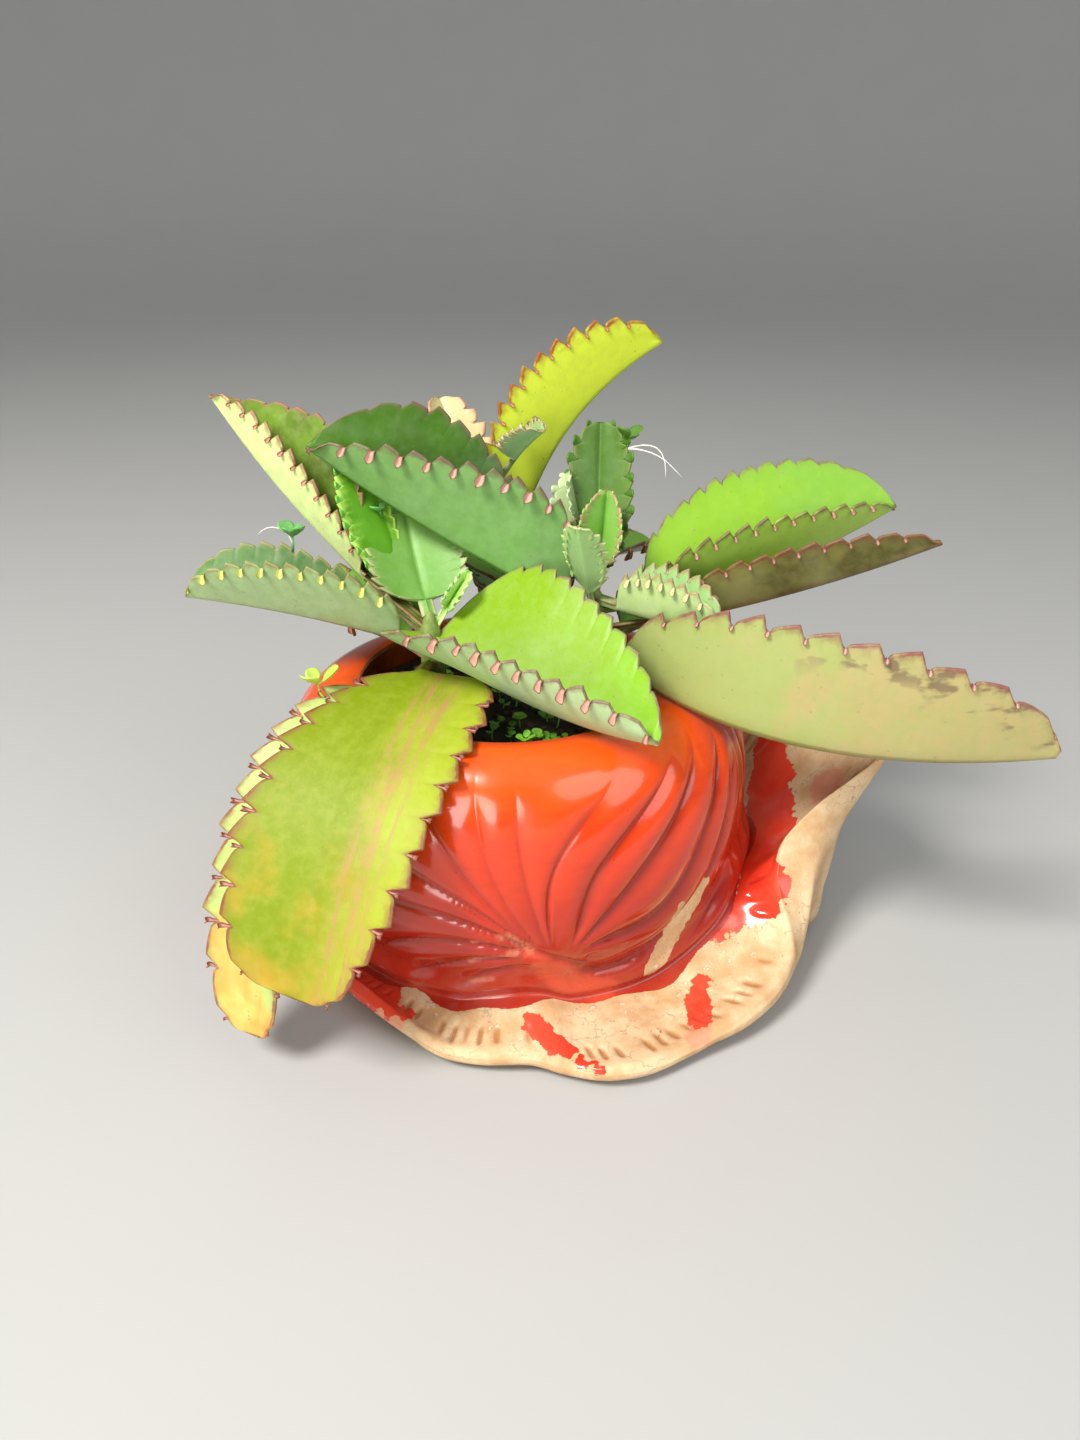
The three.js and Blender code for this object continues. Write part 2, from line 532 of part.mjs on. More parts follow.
// A closed blade: an upper and an under face split alike, joined round the margin. In each notch the
// margin is drawn out into the small curled plantlet that sits there.
function leafGeometry(leaf) {
  const across = leaf.young || leaf.plain ? [-1, 0, 1] : [-1, -0.5, 0, 0.5, 1];
  const ribThickness = leaf.young ? YOUNG_RIB_THICKNESS : RIB_THICKNESS;
  const stations = leafStations(leaf);
  const positions = [];
  const index = [];
  const add = (p) => positions.push(p.x, p.y, p.z) / 3 - 1;
  const rows = stations.map(({ t, peak }) => {
    const frame = leafFrame(leaf, t);
    const row = { top: [], under: [], edges: [] };
    across.forEach((u) => {
      const tooth = Math.abs(u) === 1 ? peak * leaf.toothDepth * Math.min(1, 4 * (1 - t) + 0.3) : 0;
      const spot = bladePoint(frame, leaf, t, u, tooth);
      const rib = ribThickness * (1 - RIB_TAPER * t);
      const thickness = rib + (MARGIN_THICKNESS - rib) * Math.abs(u);
      row.top.push(add(spot.point.clone().addScaledVector(spot.normal, thickness / 2)));
      row.under.push(add(spot.point.clone().addScaledVector(spot.normal, -thickness / 2)));
      row.edges.push({ ...spot, along: frame.along });
    });
    return row;
  });
  const last = across.length - 1;
  for (let i = 0; i + 1 < rows.length; i += 1) {
    const [a, b] = [rows[i], rows[i + 1]];
    for (let j = 0; j < last; j += 1) {
      index.push(a.top[j], a.top[j + 1], b.top[j + 1], a.top[j], b.top[j + 1], b.top[j]);
      index.push(a.under[j], b.under[j + 1], a.under[j + 1], a.under[j], b.under[j], b.under[j + 1]);
    }
    const dropsToNotch = stations[i].peak === 1;
    [0, last].forEach((j) => {
      const loop = [a.top[j], b.top[j], b.under[j], a.under[j]];
      if (j === last) loop.reverse();
      if (!dropsToNotch) {
        index.push(loop[0], loop[1], loop[2], loop[0], loop[2], loop[3]);
        return;
      }
      const { point, normal, outward } = b.edges[j];
      const reach = PLANTLET_REACH * (leaf.young ? 0.5 : 1) * Math.min(1, 8 * (1 - stations[i].t));
      const tip = add(point.clone().addScaledVector(outward, reach)
        .addScaledVector(normal, reach * PLANTLET_LIFT));
      for (let k = 0; k < 4; k += 1) index.push(loop[k], loop[(k + 1) % 4], tip);
    });
  }
  const [first, end] = [rows[0], rows[rows.length - 1]];
  for (let j = 0; j < last; j += 1) {
    index.push(first.top[j], first.under[j + 1], first.top[j + 1]);
    index.push(first.top[j], first.under[j], first.under[j + 1]);
    index.push(end.top[j], end.top[j + 1], end.under[j + 1]);
    index.push(end.top[j], end.under[j + 1], end.under[j]);
  }
  const geometry = new THREE.BufferGeometry();
  geometry.setAttribute('position', new THREE.Float32BufferAttribute(positions, 3));
  geometry.setIndex(index);
  return geometry;
}

// Each stalk ends on its stem's skin, with the clearance of touching pieces.
function fittedLeafGeometry(leaf) {
  const { axis, radii } = STEMS[leaf.stem];
  const around = toManifold(stalkGeometry(axis, radii.map((r) => r + FIT)));
  const pieces = toManifold(leafGeometry(leaf)).subtract(around).decompose();
  pieces.sort((a, b) => b.volume() - a.volume());
  return toGeometry(pieces[0]);
}

function addMesh(group, name, geometry, colour, roughness) {
  const flat = geometry.index ? geometry.toNonIndexed() : geometry;
  flat.computeVertexNormals();
  const material = new THREE.MeshStandardMaterial({ color: COLOURS[colour], roughness, metalness: 0 });
  const mesh = new THREE.Mesh(flat, material);
  mesh.name = name;
  group.add(mesh);
}

const group = new THREE.Group();
addMesh(group, 'shell_pot', potGeometry(), 'glaze', 0.3);
addMesh(group, 'soil', soilGeometry(), 'soil', 0.95);
Object.entries(STEMS).forEach(([name, { axis, radii }]) => {
  addMesh(group, `stem_${name}`, stalkGeometry(axis, radii), 'stem', 0.6);
});
LEAVES.forEach((leaf) => addMesh(group, leaf.name, fittedLeafGeometry(leaf), leaf.colour, 0.5));

export default group;
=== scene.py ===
"""Looks for the potted mother of thousands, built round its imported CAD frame.

Shapes are worked out in millimetres in the frame of the part, and become metres when a piece is made.
"""

import math
import random

import bpy
import numpy as np
from bpy.props import FloatProperty, FloatVectorProperty, IntProperty, PointerProperty
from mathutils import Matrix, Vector


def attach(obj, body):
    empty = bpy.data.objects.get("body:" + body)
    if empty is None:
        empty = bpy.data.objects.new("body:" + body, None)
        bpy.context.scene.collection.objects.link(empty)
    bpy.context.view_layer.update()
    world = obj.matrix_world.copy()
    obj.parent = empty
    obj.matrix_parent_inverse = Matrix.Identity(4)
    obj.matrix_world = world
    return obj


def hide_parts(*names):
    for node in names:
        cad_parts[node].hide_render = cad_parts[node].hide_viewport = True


bl_info = {
    "name": "Potted mother of thousands",
    "version": (1, 0, 0),
    "blender": (4, 5, 0),
    "location": "3D View > Sidebar > Plant",
    "description": "Builds the leaves, stems, soil and shell pot of a potted mother of thousands",
    "category": "Add Mesh",
}

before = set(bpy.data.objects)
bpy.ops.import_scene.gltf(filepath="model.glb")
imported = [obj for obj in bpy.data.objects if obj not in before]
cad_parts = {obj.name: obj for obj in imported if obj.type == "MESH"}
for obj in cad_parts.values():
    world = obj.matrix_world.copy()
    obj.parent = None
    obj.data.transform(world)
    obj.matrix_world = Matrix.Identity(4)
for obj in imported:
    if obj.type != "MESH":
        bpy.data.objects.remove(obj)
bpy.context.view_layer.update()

MM = 0.001
MARKS_SEED, CRUMBS_SEED, SEEDLINGS_SEED = 5, 11, 23


# Numbers and noise

def srgb(text):
    """A linear colour from a six digit hex colour, by the two parts of the standard screen curve."""
    values = [int(text[k:k + 2], 16) / 255 for k in (0, 2, 4)]
    return [v / 12.92 if v <= 0.04045 else ((v + 0.055) / 1.055) ** 2.4 for v in values] + [1.0]


def smooth(low, high, x):
    """A soft step from 0 at low to 1 at high."""
    s = np.clip((np.asarray(x, float) - low) / (high - low), 0, 1)
    return s * s * (3 - 2 * s)


def unit(v):
    """Vectors brought to length 1."""
    return v / np.maximum(np.linalg.norm(v, axis=-1, keepdims=True), 1e-12)


def together(*values):
    """Values side by side as the last axis of one array, each spread to the shape they share."""
    return np.stack(np.broadcast_arrays(*values), -1)


# primes that scatter the cells of the noise, then how many cells lie between two seeds and before the first
HASH_STEPS, HASH_MIX = np.array([73856093, 19349663, 83492791]), 1274126177
SEED_SHIFT, START_SHIFT = 37.7, 500
LOW_BITS = 0xFFFFFFFF


def noise(points, size, seed=0):
    """Smooth noise from -1 to 1 at points, in patches of the given size."""
    p = np.asarray(points, float) / size + SEED_SHIFT * seed + START_SHIFT
    cell = np.floor(p).astype(np.int64)
    f = p - cell
    f = f * f * (3 - 2 * f)
    total = 0
    for corner in np.ndindex(2, 2, 2):
        h = np.bitwise_xor.reduce((cell + corner) * HASH_STEPS, axis=-1)
        h = (((h ^ (h >> 13)) & LOW_BITS) * HASH_MIX) & LOW_BITS
        h = (h ^ (h >> 16)) & 0xFFFF
        weight = np.prod(np.where(corner, f, 1 - f), axis=-1)
        total = total + weight * (h / 32767.5 - 1)
    return total


def through(points, counts):
    """Points on a smooth curve through the given ones, counts[k] steps from point k to the next."""
    rows = []
    for k, count in enumerate(counts):
        a, b, c, d = (points[min(max(k + j, 0), len(points) - 1)] for j in (-1, 0, 1, 2))
        for s in np.arange(count) / count:
            rows.append(0.5 * (2 * b + (c - a) * s + (2 * a - 5 * b + 4 * c - d) * s * s
                               + (3 * b - a - 3 * c + d) * s ** 3))
    rows.append(points[-1])
    return rows


# Meshes

class Shells:
    """Points, faces and surface values of one piece, gathered shell by shell."""

    def __init__(self, *fields):
        self.points, self.faces, self.count = [], [], 0
        self.fields = {name: [] for name in fields}

    def add(self, points, faces, **values):
        points = np.asarray(points, float).reshape(-1, 3)
        self.points.append(points)
        self.faces += [tuple(i + self.count for i in face) for face in faces]
        for name, rows in self.fields.items():
            rows.append(np.broadcast_to(np.reshape(values.get(name, (0, 0, 0)), (-1, 3)), (len(points), 3)))
        self.count += len(points)

    def piece(self, name, material):
        mesh = bpy.data.meshes.new(name)
        mesh.from_pydata((np.concatenate(self.points) * MM).tolist(), [], self.faces)
        for field, rows in self.fields.items():
            attribute = mesh.attributes.new(field, "FLOAT_VECTOR", "POINT")
            attribute.data.foreach_set("vector", np.concatenate(rows).astype(np.float32).ravel())
        mesh.shade_smooth()
        mesh.materials.append(material)
        mesh.update()
        ob = bpy.data.objects.new(name, mesh)
        bpy.context.scene.collection.objects.link(ob)
        return ob


def loop_faces(rings, size, caps=True):
    """Faces between rings of equal size that follow each other, with a fan over either end."""
    faces = [(k * size + j, k * size + (j + 1) % size, (k + 1) * size + (j + 1) % size, (k + 1) * size + j)
             for k in range(rings - 1) for j in range(size)]
    if caps:
        faces += [tuple(range(size - 1, -1, -1)), tuple((rings - 1) * size + j for j in range(size))]
    return faces


def finished(ob, node):
    """Rides on the part and stands for its CAD node."""
    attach(ob, "root")
    if node:
        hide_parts(node)


# Node helpers

class Nodes:
    """Short calls for the nodes of one tree."""

    def __init__(self, tree):
        self.tree = tree

    def new(self, kind, **settings):
        node = self.tree.nodes.new(kind)
        for key, value in settings.items():
            setattr(node, key, value)
        return node

    def plug(self, socket, value):
        """Links a socket, or sets it to a number, a vector or a hex colour."""
        if isinstance(value, bpy.types.NodeSocket):
            self.tree.links.new(value, socket)
        else:
            socket.default_value = srgb(value) if isinstance(value, str) else value

    def fill(self, node, keys, values):
        """Plugs values into inputs of a node, named or numbered by the keys."""
        for key, value in zip(keys, values):
            self.plug(node.inputs[key], value)
        return node

    def math(self, operation, *values, clamp=False):
        node = self.new("ShaderNodeMath", operation=operation, use_clamp=clamp)
        return self.fill(node, range(3), values).outputs[0]

    def plus(self, a, b):
        return self.math("ADD", a, b)

    def minus(self, a, b):
        return self.math("SUBTRACT", a, b)

    def times(self, a, b, clamp=False):
        return self.math("MULTIPLY", a, b, clamp=clamp)

    def above(self, value, limit):
        return self.math("GREATER_THAN", value, limit)

    def below(self, value, limit):
        return self.math("LESS_THAN", value, limit)

    def ramp(self, value, low, high, to_low=0.0, to_high=1.0):
        node = self.new("ShaderNodeMapRange", interpolation_type="SMOOTHSTEP")
        return self.fill(node, range(5), (value, low, high, to_low, to_high)).outputs[0]

    def mix(self, share, a, b):
        """A colour between two others."""
        return self.fill(self.new("ShaderNodeMix", data_type="RGBA"), (0, 6, 7), (share, a, b)).outputs[2]

    def blend(self, share, a, b):
        """A number between two others."""
        return self.fill(self.new("ShaderNodeMix", data_type="FLOAT"), (0, 2, 3), (share, a, b)).outputs[0]

    def noise(self, where, scale, detail=3.0, rough=0.5):
        keys = ("Vector", "Scale", "Detail", "Roughness")
        return self.fill(self.new("ShaderNodeTexNoise"), keys, (where, scale, detail, rough)).outputs[0]

    def cells(self, where, scale, feature="F1"):
        node = self.new("ShaderNodeTexVoronoi", feature=feature)
        return self.fill(node, ("Vector", "Scale"), (where, scale)).outputs[0]

    def field(self, name):
        """The three values that a mesh carries under a name."""
        node = self.new("ShaderNodeAttribute", attribute_name=name)
        return self.fill(self.new("ShaderNodeSeparateXYZ"), [0], [node.outputs["Vector"]]).outputs

    def place(self, scale=(1000, 1000, 1000)):
        """Where the surface point is on the piece, in millimetres unless a scale squeezes or stretches it."""
        node = self.new("ShaderNodeTexCoord")
        mapping = self.new("ShaderNodeMapping")
        return self.fill(mapping, ("Vector", "Scale"), (node.outputs["Object"], scale)).outputs[0]

    def vector(self, x, y, z):
        return self.fill(self.new("ShaderNodeCombineXYZ"), range(3), (x, y, z)).outputs[0]

    def specks(self, size_mm, cover):
        """The mask of the shared specks of dirt."""
        node = self.new("ShaderNodeGroup", node_tree=speckle_group())
        return self.fill(node, ("Size mm", "Cover"), (size_mm, cover)).outputs["Mask"]

    def surface(self, principled, colour, roughness, height, relief_mm):
        """Gives a shader its colour, its roughness and a relief of the given depth."""
        bump = self.fill(self.new("ShaderNodeBump"), ("Distance", "Height"), (relief_mm * MM, height))
        values = (colour, roughness, bump.outputs["Normal"])
        self.fill(principled, ("Base Color", "Roughness", "Normal"), values)


def effect_group(name, inputs, outputs):
    """An empty shader node group with these sockets, and its helper, input and output."""
    tree = bpy.data.node_groups.new(name, "ShaderNodeTree")
    for label, kind, default in inputs:
        socket = tree.interface.new_socket(label, in_out="INPUT", socket_type="NodeSocket" + kind)
        socket.default_value = default
    for label, kind in outputs:
        tree.interface.new_socket(label, in_out="OUTPUT", socket_type="NodeSocket" + kind)
    nodes = Nodes(tree)
    return tree, nodes, nodes.new("NodeGroupInput").outputs, nodes.new("NodeGroupOutput").inputs


def speckle_group():
    """Small specks of dirt: a mask of how much of each spot they cover."""
    if "fine_specks" in bpy.data.node_groups:
        return bpy.data.node_groups["fine_specks"]
    tree, n, i, o = effect_group("fine_specks", [("Size mm", "Float", 2.0), ("Cover", "Float", 0.1)],
                                 [("Mask", "Float")])
    divided = n.new("ShaderNodeVectorMath", operation="DIVIDE")
    where = n.fill(divided, range(2), (n.place(), i["Size mm"])).outputs[0]
    edge = n.times(i["Cover"], n.ramp(n.noise(where, 0.35, 4.0), 0.35, 0.7, 0.2, 2.0))
    n.plug(o["Mask"], n.below(n.cells(where, 1.0), edge))
    return tree


# what a point of a leaf belongs to, where it isn't skin
BUD, PLANTLET, ROOT = 1, 2, 3
ROOT_COLOUR = (0.78, 0.74, 0.66, 1)
BLOOM_COLOUR = (0.62, 0.7, 0.6, 1)
SKIN_COLOURS = {
    "Upper": "6fa52a", "Upper far": "7cb034", "Sunny": "c8cc50", "Under": "a3b57c", "Under far": "a3b57c",
    "Streak": "b07a4a", "Rim": "7a5140", "Bud": "cc947e", "Bud rim": "85503f", "Blotch": "6e6a48",
    "Plantlet": "5fa358",
}
SKIN_NUMBERS = {
    "Streak amount": 0.0, "Streak at mm": 0.0, "Streak width mm": 4.0, "Blotch amount": 0.0,
    "Sunny amount": 0.0, "Rim mm": 0.5, "Far from": 0.5, "Bloom": 0.15, "Dull": 0.0,
}


def leaf_skin_group():
    """Colour, roughness and relief of a succulent blade from the values its mesh carries."""
    if "succulent_skin" in bpy.data.node_groups:
        return bpy.data.node_groups["succulent_skin"]
    inputs = [(label, "Color", srgb(colour)) for label, colour in SKIN_COLOURS.items()]
    inputs += [(label, "Float", number) for label, number in SKIN_NUMBERS.items()]
    tree, n, i, o = effect_group("succulent_skin", inputs,
                                 [("Colour", "Color"), ("Roughness", "Float"), ("Height", "Float")])
    along, across, margin = n.field("blade")
    under, kind, share = n.field("part")
    crest = n.field("edge")[0]
    where = n.place()
    broad = n.noise(where, 0.07, 3.0, 0.55)
    mottle = n.noise(where, 0.3, 4.0, 0.6)
    fine = n.noise(where, 2.2, 3.0, 0.6)
    # the upper face turns towards another colour as it nears its tip
    wander = n.ramp(broad, 0.2, 0.8, -0.25, 0.25)
    far = n.ramp(n.plus(share, wander), i["Far from"], n.plus(i["Far from"], 0.45))
    upper = n.mix(far, i["Upper"], i["Upper far"])
    # one side of the midrib may turn lighter and yellower
    sunny = n.ramp(n.plus(across, n.ramp(broad, 0.2, 0.8, -7.0, 7.0)), 2.0, -19.0)
    upper = n.mix(n.times(sunny, i["Sunny amount"]), upper, i["Sunny"])
    upper = n.mix(n.ramp(mottle, 0.35, 0.75, 0.0, 0.22), upper, n.mix(0.5, upper, i["Under"]))
    # lengthwise streaks beside the midrib
    lengthwise = n.noise(n.vector(n.times(along, 0.035), n.times(across, 0.55), share), 1.0, 4.0, 0.65)
    beside = n.math("ABSOLUTE", n.minus(across, i["Streak at mm"]))
    band = n.minus(1.0, n.ramp(beside, n.times(i["Streak width mm"], 0.4), i["Streak width mm"]))
    broken = n.times(n.ramp(lengthwise, 0.38, 0.62), n.ramp(mottle, 0.3, 0.6, 0.35, 1.0))
    streak = n.times(n.times(band, broken), i["Streak amount"], clamp=True)
    upper = n.mix(streak, upper, i["Streak"])
    lower = n.mix(far, i["Under"], i["Under far"])
    lower = n.mix(n.ramp(mottle, 0.3, 0.7, 0.0, 0.35), lower, n.mix(0.5, i["Under"], i["Upper"]))
    lower = n.mix(n.times(streak, 0.6), lower, i["Streak"])
    colour = n.mix(n.ramp(under, 0.35, 0.65), upper, lower)
    # dark blotches near the margin of the outer half, where the skin has aged
    blotches = n.noise(n.vector(n.times(along, 0.13), n.times(across, 0.19), 3.3), 1.0, 3.0, 0.5)
    aged = n.times(n.ramp(blotches, 0.52, 0.63), i["Blotch amount"], clamp=True)
    aged = n.times(aged, n.times(n.ramp(share, 0.42, 0.66), n.ramp(margin, 13.0, 5.0)))
    colour = n.mix(aged, colour, i["Blotch"])
    colour = n.mix(n.times(n.specks(2.6, 0.09), 0.3), colour, i["Blotch"])
    # the margin is a thin coloured line that frays inwards, and tints the tips of the teeth
    reach = n.times(i["Rim mm"], n.ramp(mottle, 0.3, 0.7, 0.5, 1.7))
    rim = n.minus(1.0, n.ramp(margin, n.times(reach, 0.35), reach))
    halo = n.times(n.minus(1.0, n.ramp(margin, 0.0, n.times(reach, 5.0))), 0.3)
    tipped = n.times(n.ramp(crest, 0.3, 1.1), n.ramp(margin, n.times(reach, 4.0), 0.0))
    colour = n.mix(n.math("MAXIMUM", halo, tipped), colour, n.mix(0.6, colour, i["Rim"]))
    worn = n.ramp(n.noise(where, 0.22, 4.0, 0.6), 0.35, 0.6, 0.35, 0.95)
    colour = n.mix(n.times(rim, worn), colour, i["Rim"])
    # buds, plantlets and roots
    bud = n.mix(n.minus(1.0, n.ramp(margin, 0.1, 0.5)), i["Bud"], i["Bud rim"])
    sprout = n.mix(n.ramp(mottle, 0.3, 0.7), i["Plantlet"], n.mix(0.5, i["Plantlet"], i["Upper"]))
    for number, tint in ((BUD, bud), (PLANTLET, sprout), (ROOT, ROOT_COLOUR)):
        colour = n.mix(n.above(kind, number - 0.5), colour, tint)
    # waxy bloom is paler and duller than the skin it lies on
    bloom = n.times(n.ramp(n.noise(where, 0.12, 5.0, 0.65), 0.35, 0.75), i["Bloom"])
    n.plug(o["Colour"], n.mix(n.times(bloom, 0.35), colour, BLOOM_COLOUR))
    dull = n.plus(n.times(bloom, 0.25), i["Dull"])
    n.plug(o["Roughness"], n.plus(n.ramp(fine, 0.2, 0.8, 0.38, 0.5), dull))
    pebbled = n.plus(n.times(fine, 0.02), n.times(mottle, 0.16))
    n.plug(o["Height"], n.plus(pebbled, n.times(lengthwise, 0.05)))
    return tree


FLESH_DEPTHS, FLESH_SCALE = (1.0, 0.9, 0.3), 0.002


def shader(name, subsurface=0.0):
    """A material with its helper and Principled shader; light enters flesh by the subsurface share."""
    material = bpy.data.materials.new(name)
    material.use_nodes = True
    nodes = Nodes(material.node_tree)
    principled = material.node_tree.nodes["Principled BSDF"]
    if subsurface:
        values = (subsurface, FLESH_DEPTHS, FLESH_SCALE)
        nodes.fill(principled, ("Subsurface Weight", "Subsurface Radius", "Subsurface Scale"), values)
    return material, nodes, principled


# The pot

POT_HEIGHT, MOUTH_RADIUS = 92, 46.5
HALF_RIGHT, HALF_LEFT, HALF_DEPTH = 76, 70.5, 66
BELLY_HEIGHT, BELLY_DROP = 54, 60
FOOT_RADIUS, FOOT_HEIGHT = 46, 1.6
FLOOR_HEIGHT, FLOOR_RADIUS = 14, 38
SHOULDER_BAND = 18
UMBO_ANGLE, UMBO_HEIGHT = -76, 30
# the fan of grooves: where each one heads, in degrees, 45 mm out from the umbo, how far it turns for each
# millimetre beyond that, and how deep it is
FAN = np.array([(-16, 1.3, 0.8), (5, 1.3, 1), (26, 0.75, 1), (50, 0, 1), (66, -0.5, 0.9), (85, -0.85, 0.7),
                (105, -0.2, 0.5), (118, -0.3, 0.5), (129, -0.1, 0.6), (141, 0.3, 0.7), (154, 0.5, 0.8),
                (172, 0.7, 0.8), (189, 0.7, 0.8), (207, 0.7, 0.7)])
FAN_TURNS_FROM = 45
UPRIGHT_GROOVES = 20
# how far round from the umbo, in millimetres, the fan fades out and the upright ribs set in
FAN_END, UPRIGHT_START = (55, 70), (62, 78)

# angle round the pot, then radius and height of the groove, the lip's crest and the wall under it
LIP = np.array([
    (-180, 61, 9, 68, 8, 68, 5.5), (-150, 60, 9, 68, 9, 67.5, 6), (-130, 58, 9, 69, 12, 70, 8),
    (-115, 58, 10, 71.5, 9.5, 72, 6), (-104, 58, 10, 75, 7, 76, 4.5), (-94, 57.5, 12, 76, 7.5, 77, 4.5),
    (-85, 57.5, 13, 76.5, 8, 77.5, 5), (-79, 57.5, 12, 80, 7.5, 81, 4.5), (-72, 58, 9, 86, 7.5, 87, 4.5),
    (-65, 58.5, 8, 89, 8, 90, 4.5), (-53, 61, 8, 90, 7.5, 91, 4.5), (-42, 64, 9, 94, 11, 95.5, 7),
    (-33, 68, 13, 97, 13, 98, 8), (-26, 72, 18, 97.5, 17, 98.5, 9), (-22, 74, 22, 94, 24, 99.5, 12),
    (-18, 75, 25, 89.5, 33, 100, 20), (-14, 76, 28, 90.5, 44, 100.5, 30), (-10, 77, 30, 101, 56, 103, 34),
    (-4, 78, 32, 119, 68, 109, 42), (4, 78, 34, 120, 70, 110, 42), (16, 76, 34, 106, 62, 102, 36),
    (34, 72, 28, 92, 46, 90, 28), (55, 67, 18, 79, 26, 80, 16), (80, 62, 10, 70, 12, 71, 8),
    (120, 60, 9, 68, 8, 68, 5.5)])


def lip_values(angles):
    """The six lip values at each angle, on curves through the stations that never overshoot them."""
    turns = np.concatenate([LIP[-3:, 0] - 360, LIP[:, 0], LIP[:3, 0] + 360])
    values = np.concatenate([LIP[-3:, 1:], LIP[:, 1:], LIP[:3, 1:]])
    k = np.clip(np.searchsorted(turns, angles, side="right") - 1, 1, len(turns) - 3)
    span = (turns[k + 1] - turns[k])[:, None]
    chord = (values[k + 1] - values[k]) / span

    def limited(slope):
        return np.where(slope * chord <= 0, 0, np.sign(slope) * np.minimum(abs(slope), 3 * abs(chord)))

    start = limited((values[k + 1] - values[k - 1]) / (turns[k + 1] - turns[k - 1])[:, None])
    end = limited((values[k + 2] - values[k]) / (turns[k + 2] - turns[k])[:, None])
    s = ((angles - turns[k])[:, None]) / span
    return (values[k] * (1 + 2 * s) * (1 - s) ** 2 + span * start * s * (1 - s) ** 2
            + values[k + 1] * s * s * (3 - 2 * s) + span * end * s * s * (s - 1)).T


def body_fullness(z):
    low = 1 - ((BELLY_HEIGHT - z) / BELLY_DROP) ** 2
    up = np.clip((z - BELLY_HEIGHT) / (POT_HEIGHT - BELLY_HEIGHT), 0, 1)
    return np.where(z < BELLY_HEIGHT, low, (1 - up ** 3) ** 0.45)


def rib_grooves(angle, z, foot):
    """How deep in a groove each point of the body is, from 0 on a rib's crest to about 1."""
    across = np.radians(angle - UMBO_ANGLE) * HALF_DEPTH
    rise = z - UMBO_HEIGHT + 3
    away = np.hypot(across, rise)
    heading = np.degrees(np.arctan2(rise, across))
    heading = np.where(heading < -95, heading + 360, heading)
    line = heading - np.interp(heading, FAN[:, 0], FAN[:, 1]) * (away - FAN_TURNS_FROM)
    line = heading - np.interp(line, FAN[:, 0], FAN[:, 1]) * (away - FAN_TURNS_FROM)
    k = np.clip(np.searchsorted(FAN[:, 0], line) - 1, 0, len(FAN) - 2)
    phase = (line - FAN[k, 0]) / (FAN[k + 1, 0] - FAN[k, 0])
    share = np.clip(phase, 0, 1)
    depth = FAN[k, 2] * (1 - share) + FAN[k + 1, 2] * share
    outside = smooth(0, 0.5, -phase) + smooth(0, 0.5, phase - 1)
    groove = np.where((phase >= 0) & (phase <= 1), 1 - np.abs(np.sin(np.pi * share)) ** 0.7, 1 - outside)
    fan = np.maximum(groove, 0) * depth * smooth(4, 17, away) * (1 - smooth(*FAN_END, abs(across)))
    upright = (1 - np.abs(np.sin(np.pi * UPRIGHT_GROOVES * np.radians(angle) / 2)) ** 0.7) * 0.8
    upright = upright * smooth(*UPRIGHT_START, abs(across))
    pinch = np.exp(-((rise - 2 + 0.55 * across) / 1.6) ** 2) * (1 - smooth(8, 16, abs(across + 2))) * 0.6
    band = smooth(0, 1, (POT_HEIGHT - 1 - z) / (SHOULDER_BAND - 1))
    return (fan + upright + pinch) * band * smooth(0, 6, z - foot)


def body_points(angles, z, foot, groove_r, rib_depth):
    """Radius of the body at each angle and height, and how deep in a groove it is."""
    turn = np.radians(angles)
    sideways = np.where(np.cos(turn) > 0, HALF_RIGHT, HALF_LEFT)
    radius = 1 / np.hypot(np.cos(turn) / sideways, np.sin(turn) / HALF_DEPTH)
    full = MOUTH_RADIUS + (radius - MOUTH_RADIUS) * body_fullness(z)
    blend = smooth(0, 1, (foot + 14 - z) / 14)
    deep = rib_grooves(angles, z, foot)
    return full + (groove_r + 1.5 - full) * blend - rib_depth * deep, deep


# worn patches as capsules: one end, the other end, radius. Here the paint that is left on the bare lip
PAINT = [
    ((92, 30, 48), (88, 16, 41), 7), ((91, 17, 43), (92, 17, 45), 6), ((88, 8, 39), (86, -6, 36), 8.5),
    ((86, -4, 37), (84, -16, 34), 8.5), ((83, -14, 33), (81, -25, 30), 8),
    ((80, -24, 29), (77, -28, 24), 6.5), ((76, -27, 23), (66, -32, 19), 4.5),
    ((64, -31, 33), (62, -35, 26), 3), ((62, -34, 24), (54, -40, 14), 3.4),
    ((84, -28, 27), (85, -31, 24), 2.6), ((60, -47, 9), (58, -51, 9), 2.6),
    ((58, -55, 8), (57, -63, 8), 3.6), ((8, -66, 10), (14, -73, 8), 3.2), ((15, -72, 8), (18, -75, 8), 2.4),
    ((22, -78, 7.5), (22, -80, 7.5), 1.3), ((25, -80, 7), (27, -82, 7), 1.3),
    ((-46, -46, 9), (-38, -54, 10), 6), ((-34, -60, 10), (-30, -61, 10), 3),
    ((44, -66, 8), (45, -67, 8), 1.2),
]
# pink traces of paint on the lip
FADED = [
    ((104, -1, 51), (104, 1, 51), 6.5), ((57, -66, 8), (56, -70, 8), 3.5),
    ((-50, -44, 9), (-34, -62, 10), 6),
]
# clay that shows where the glaze has come off
BARE = [
    ((84, 30, 42), (78, 18, 36), 3), ((60, -37, 38), (57, -38.5, 31), 2.4),
    ((57, -38.5, 31), (51, -42, 23), 3.8), ((51, -42, 23), (45, -46, 13), 3.4),
    ((52, -45, 36), (50, -46, 29), 1.6),
]
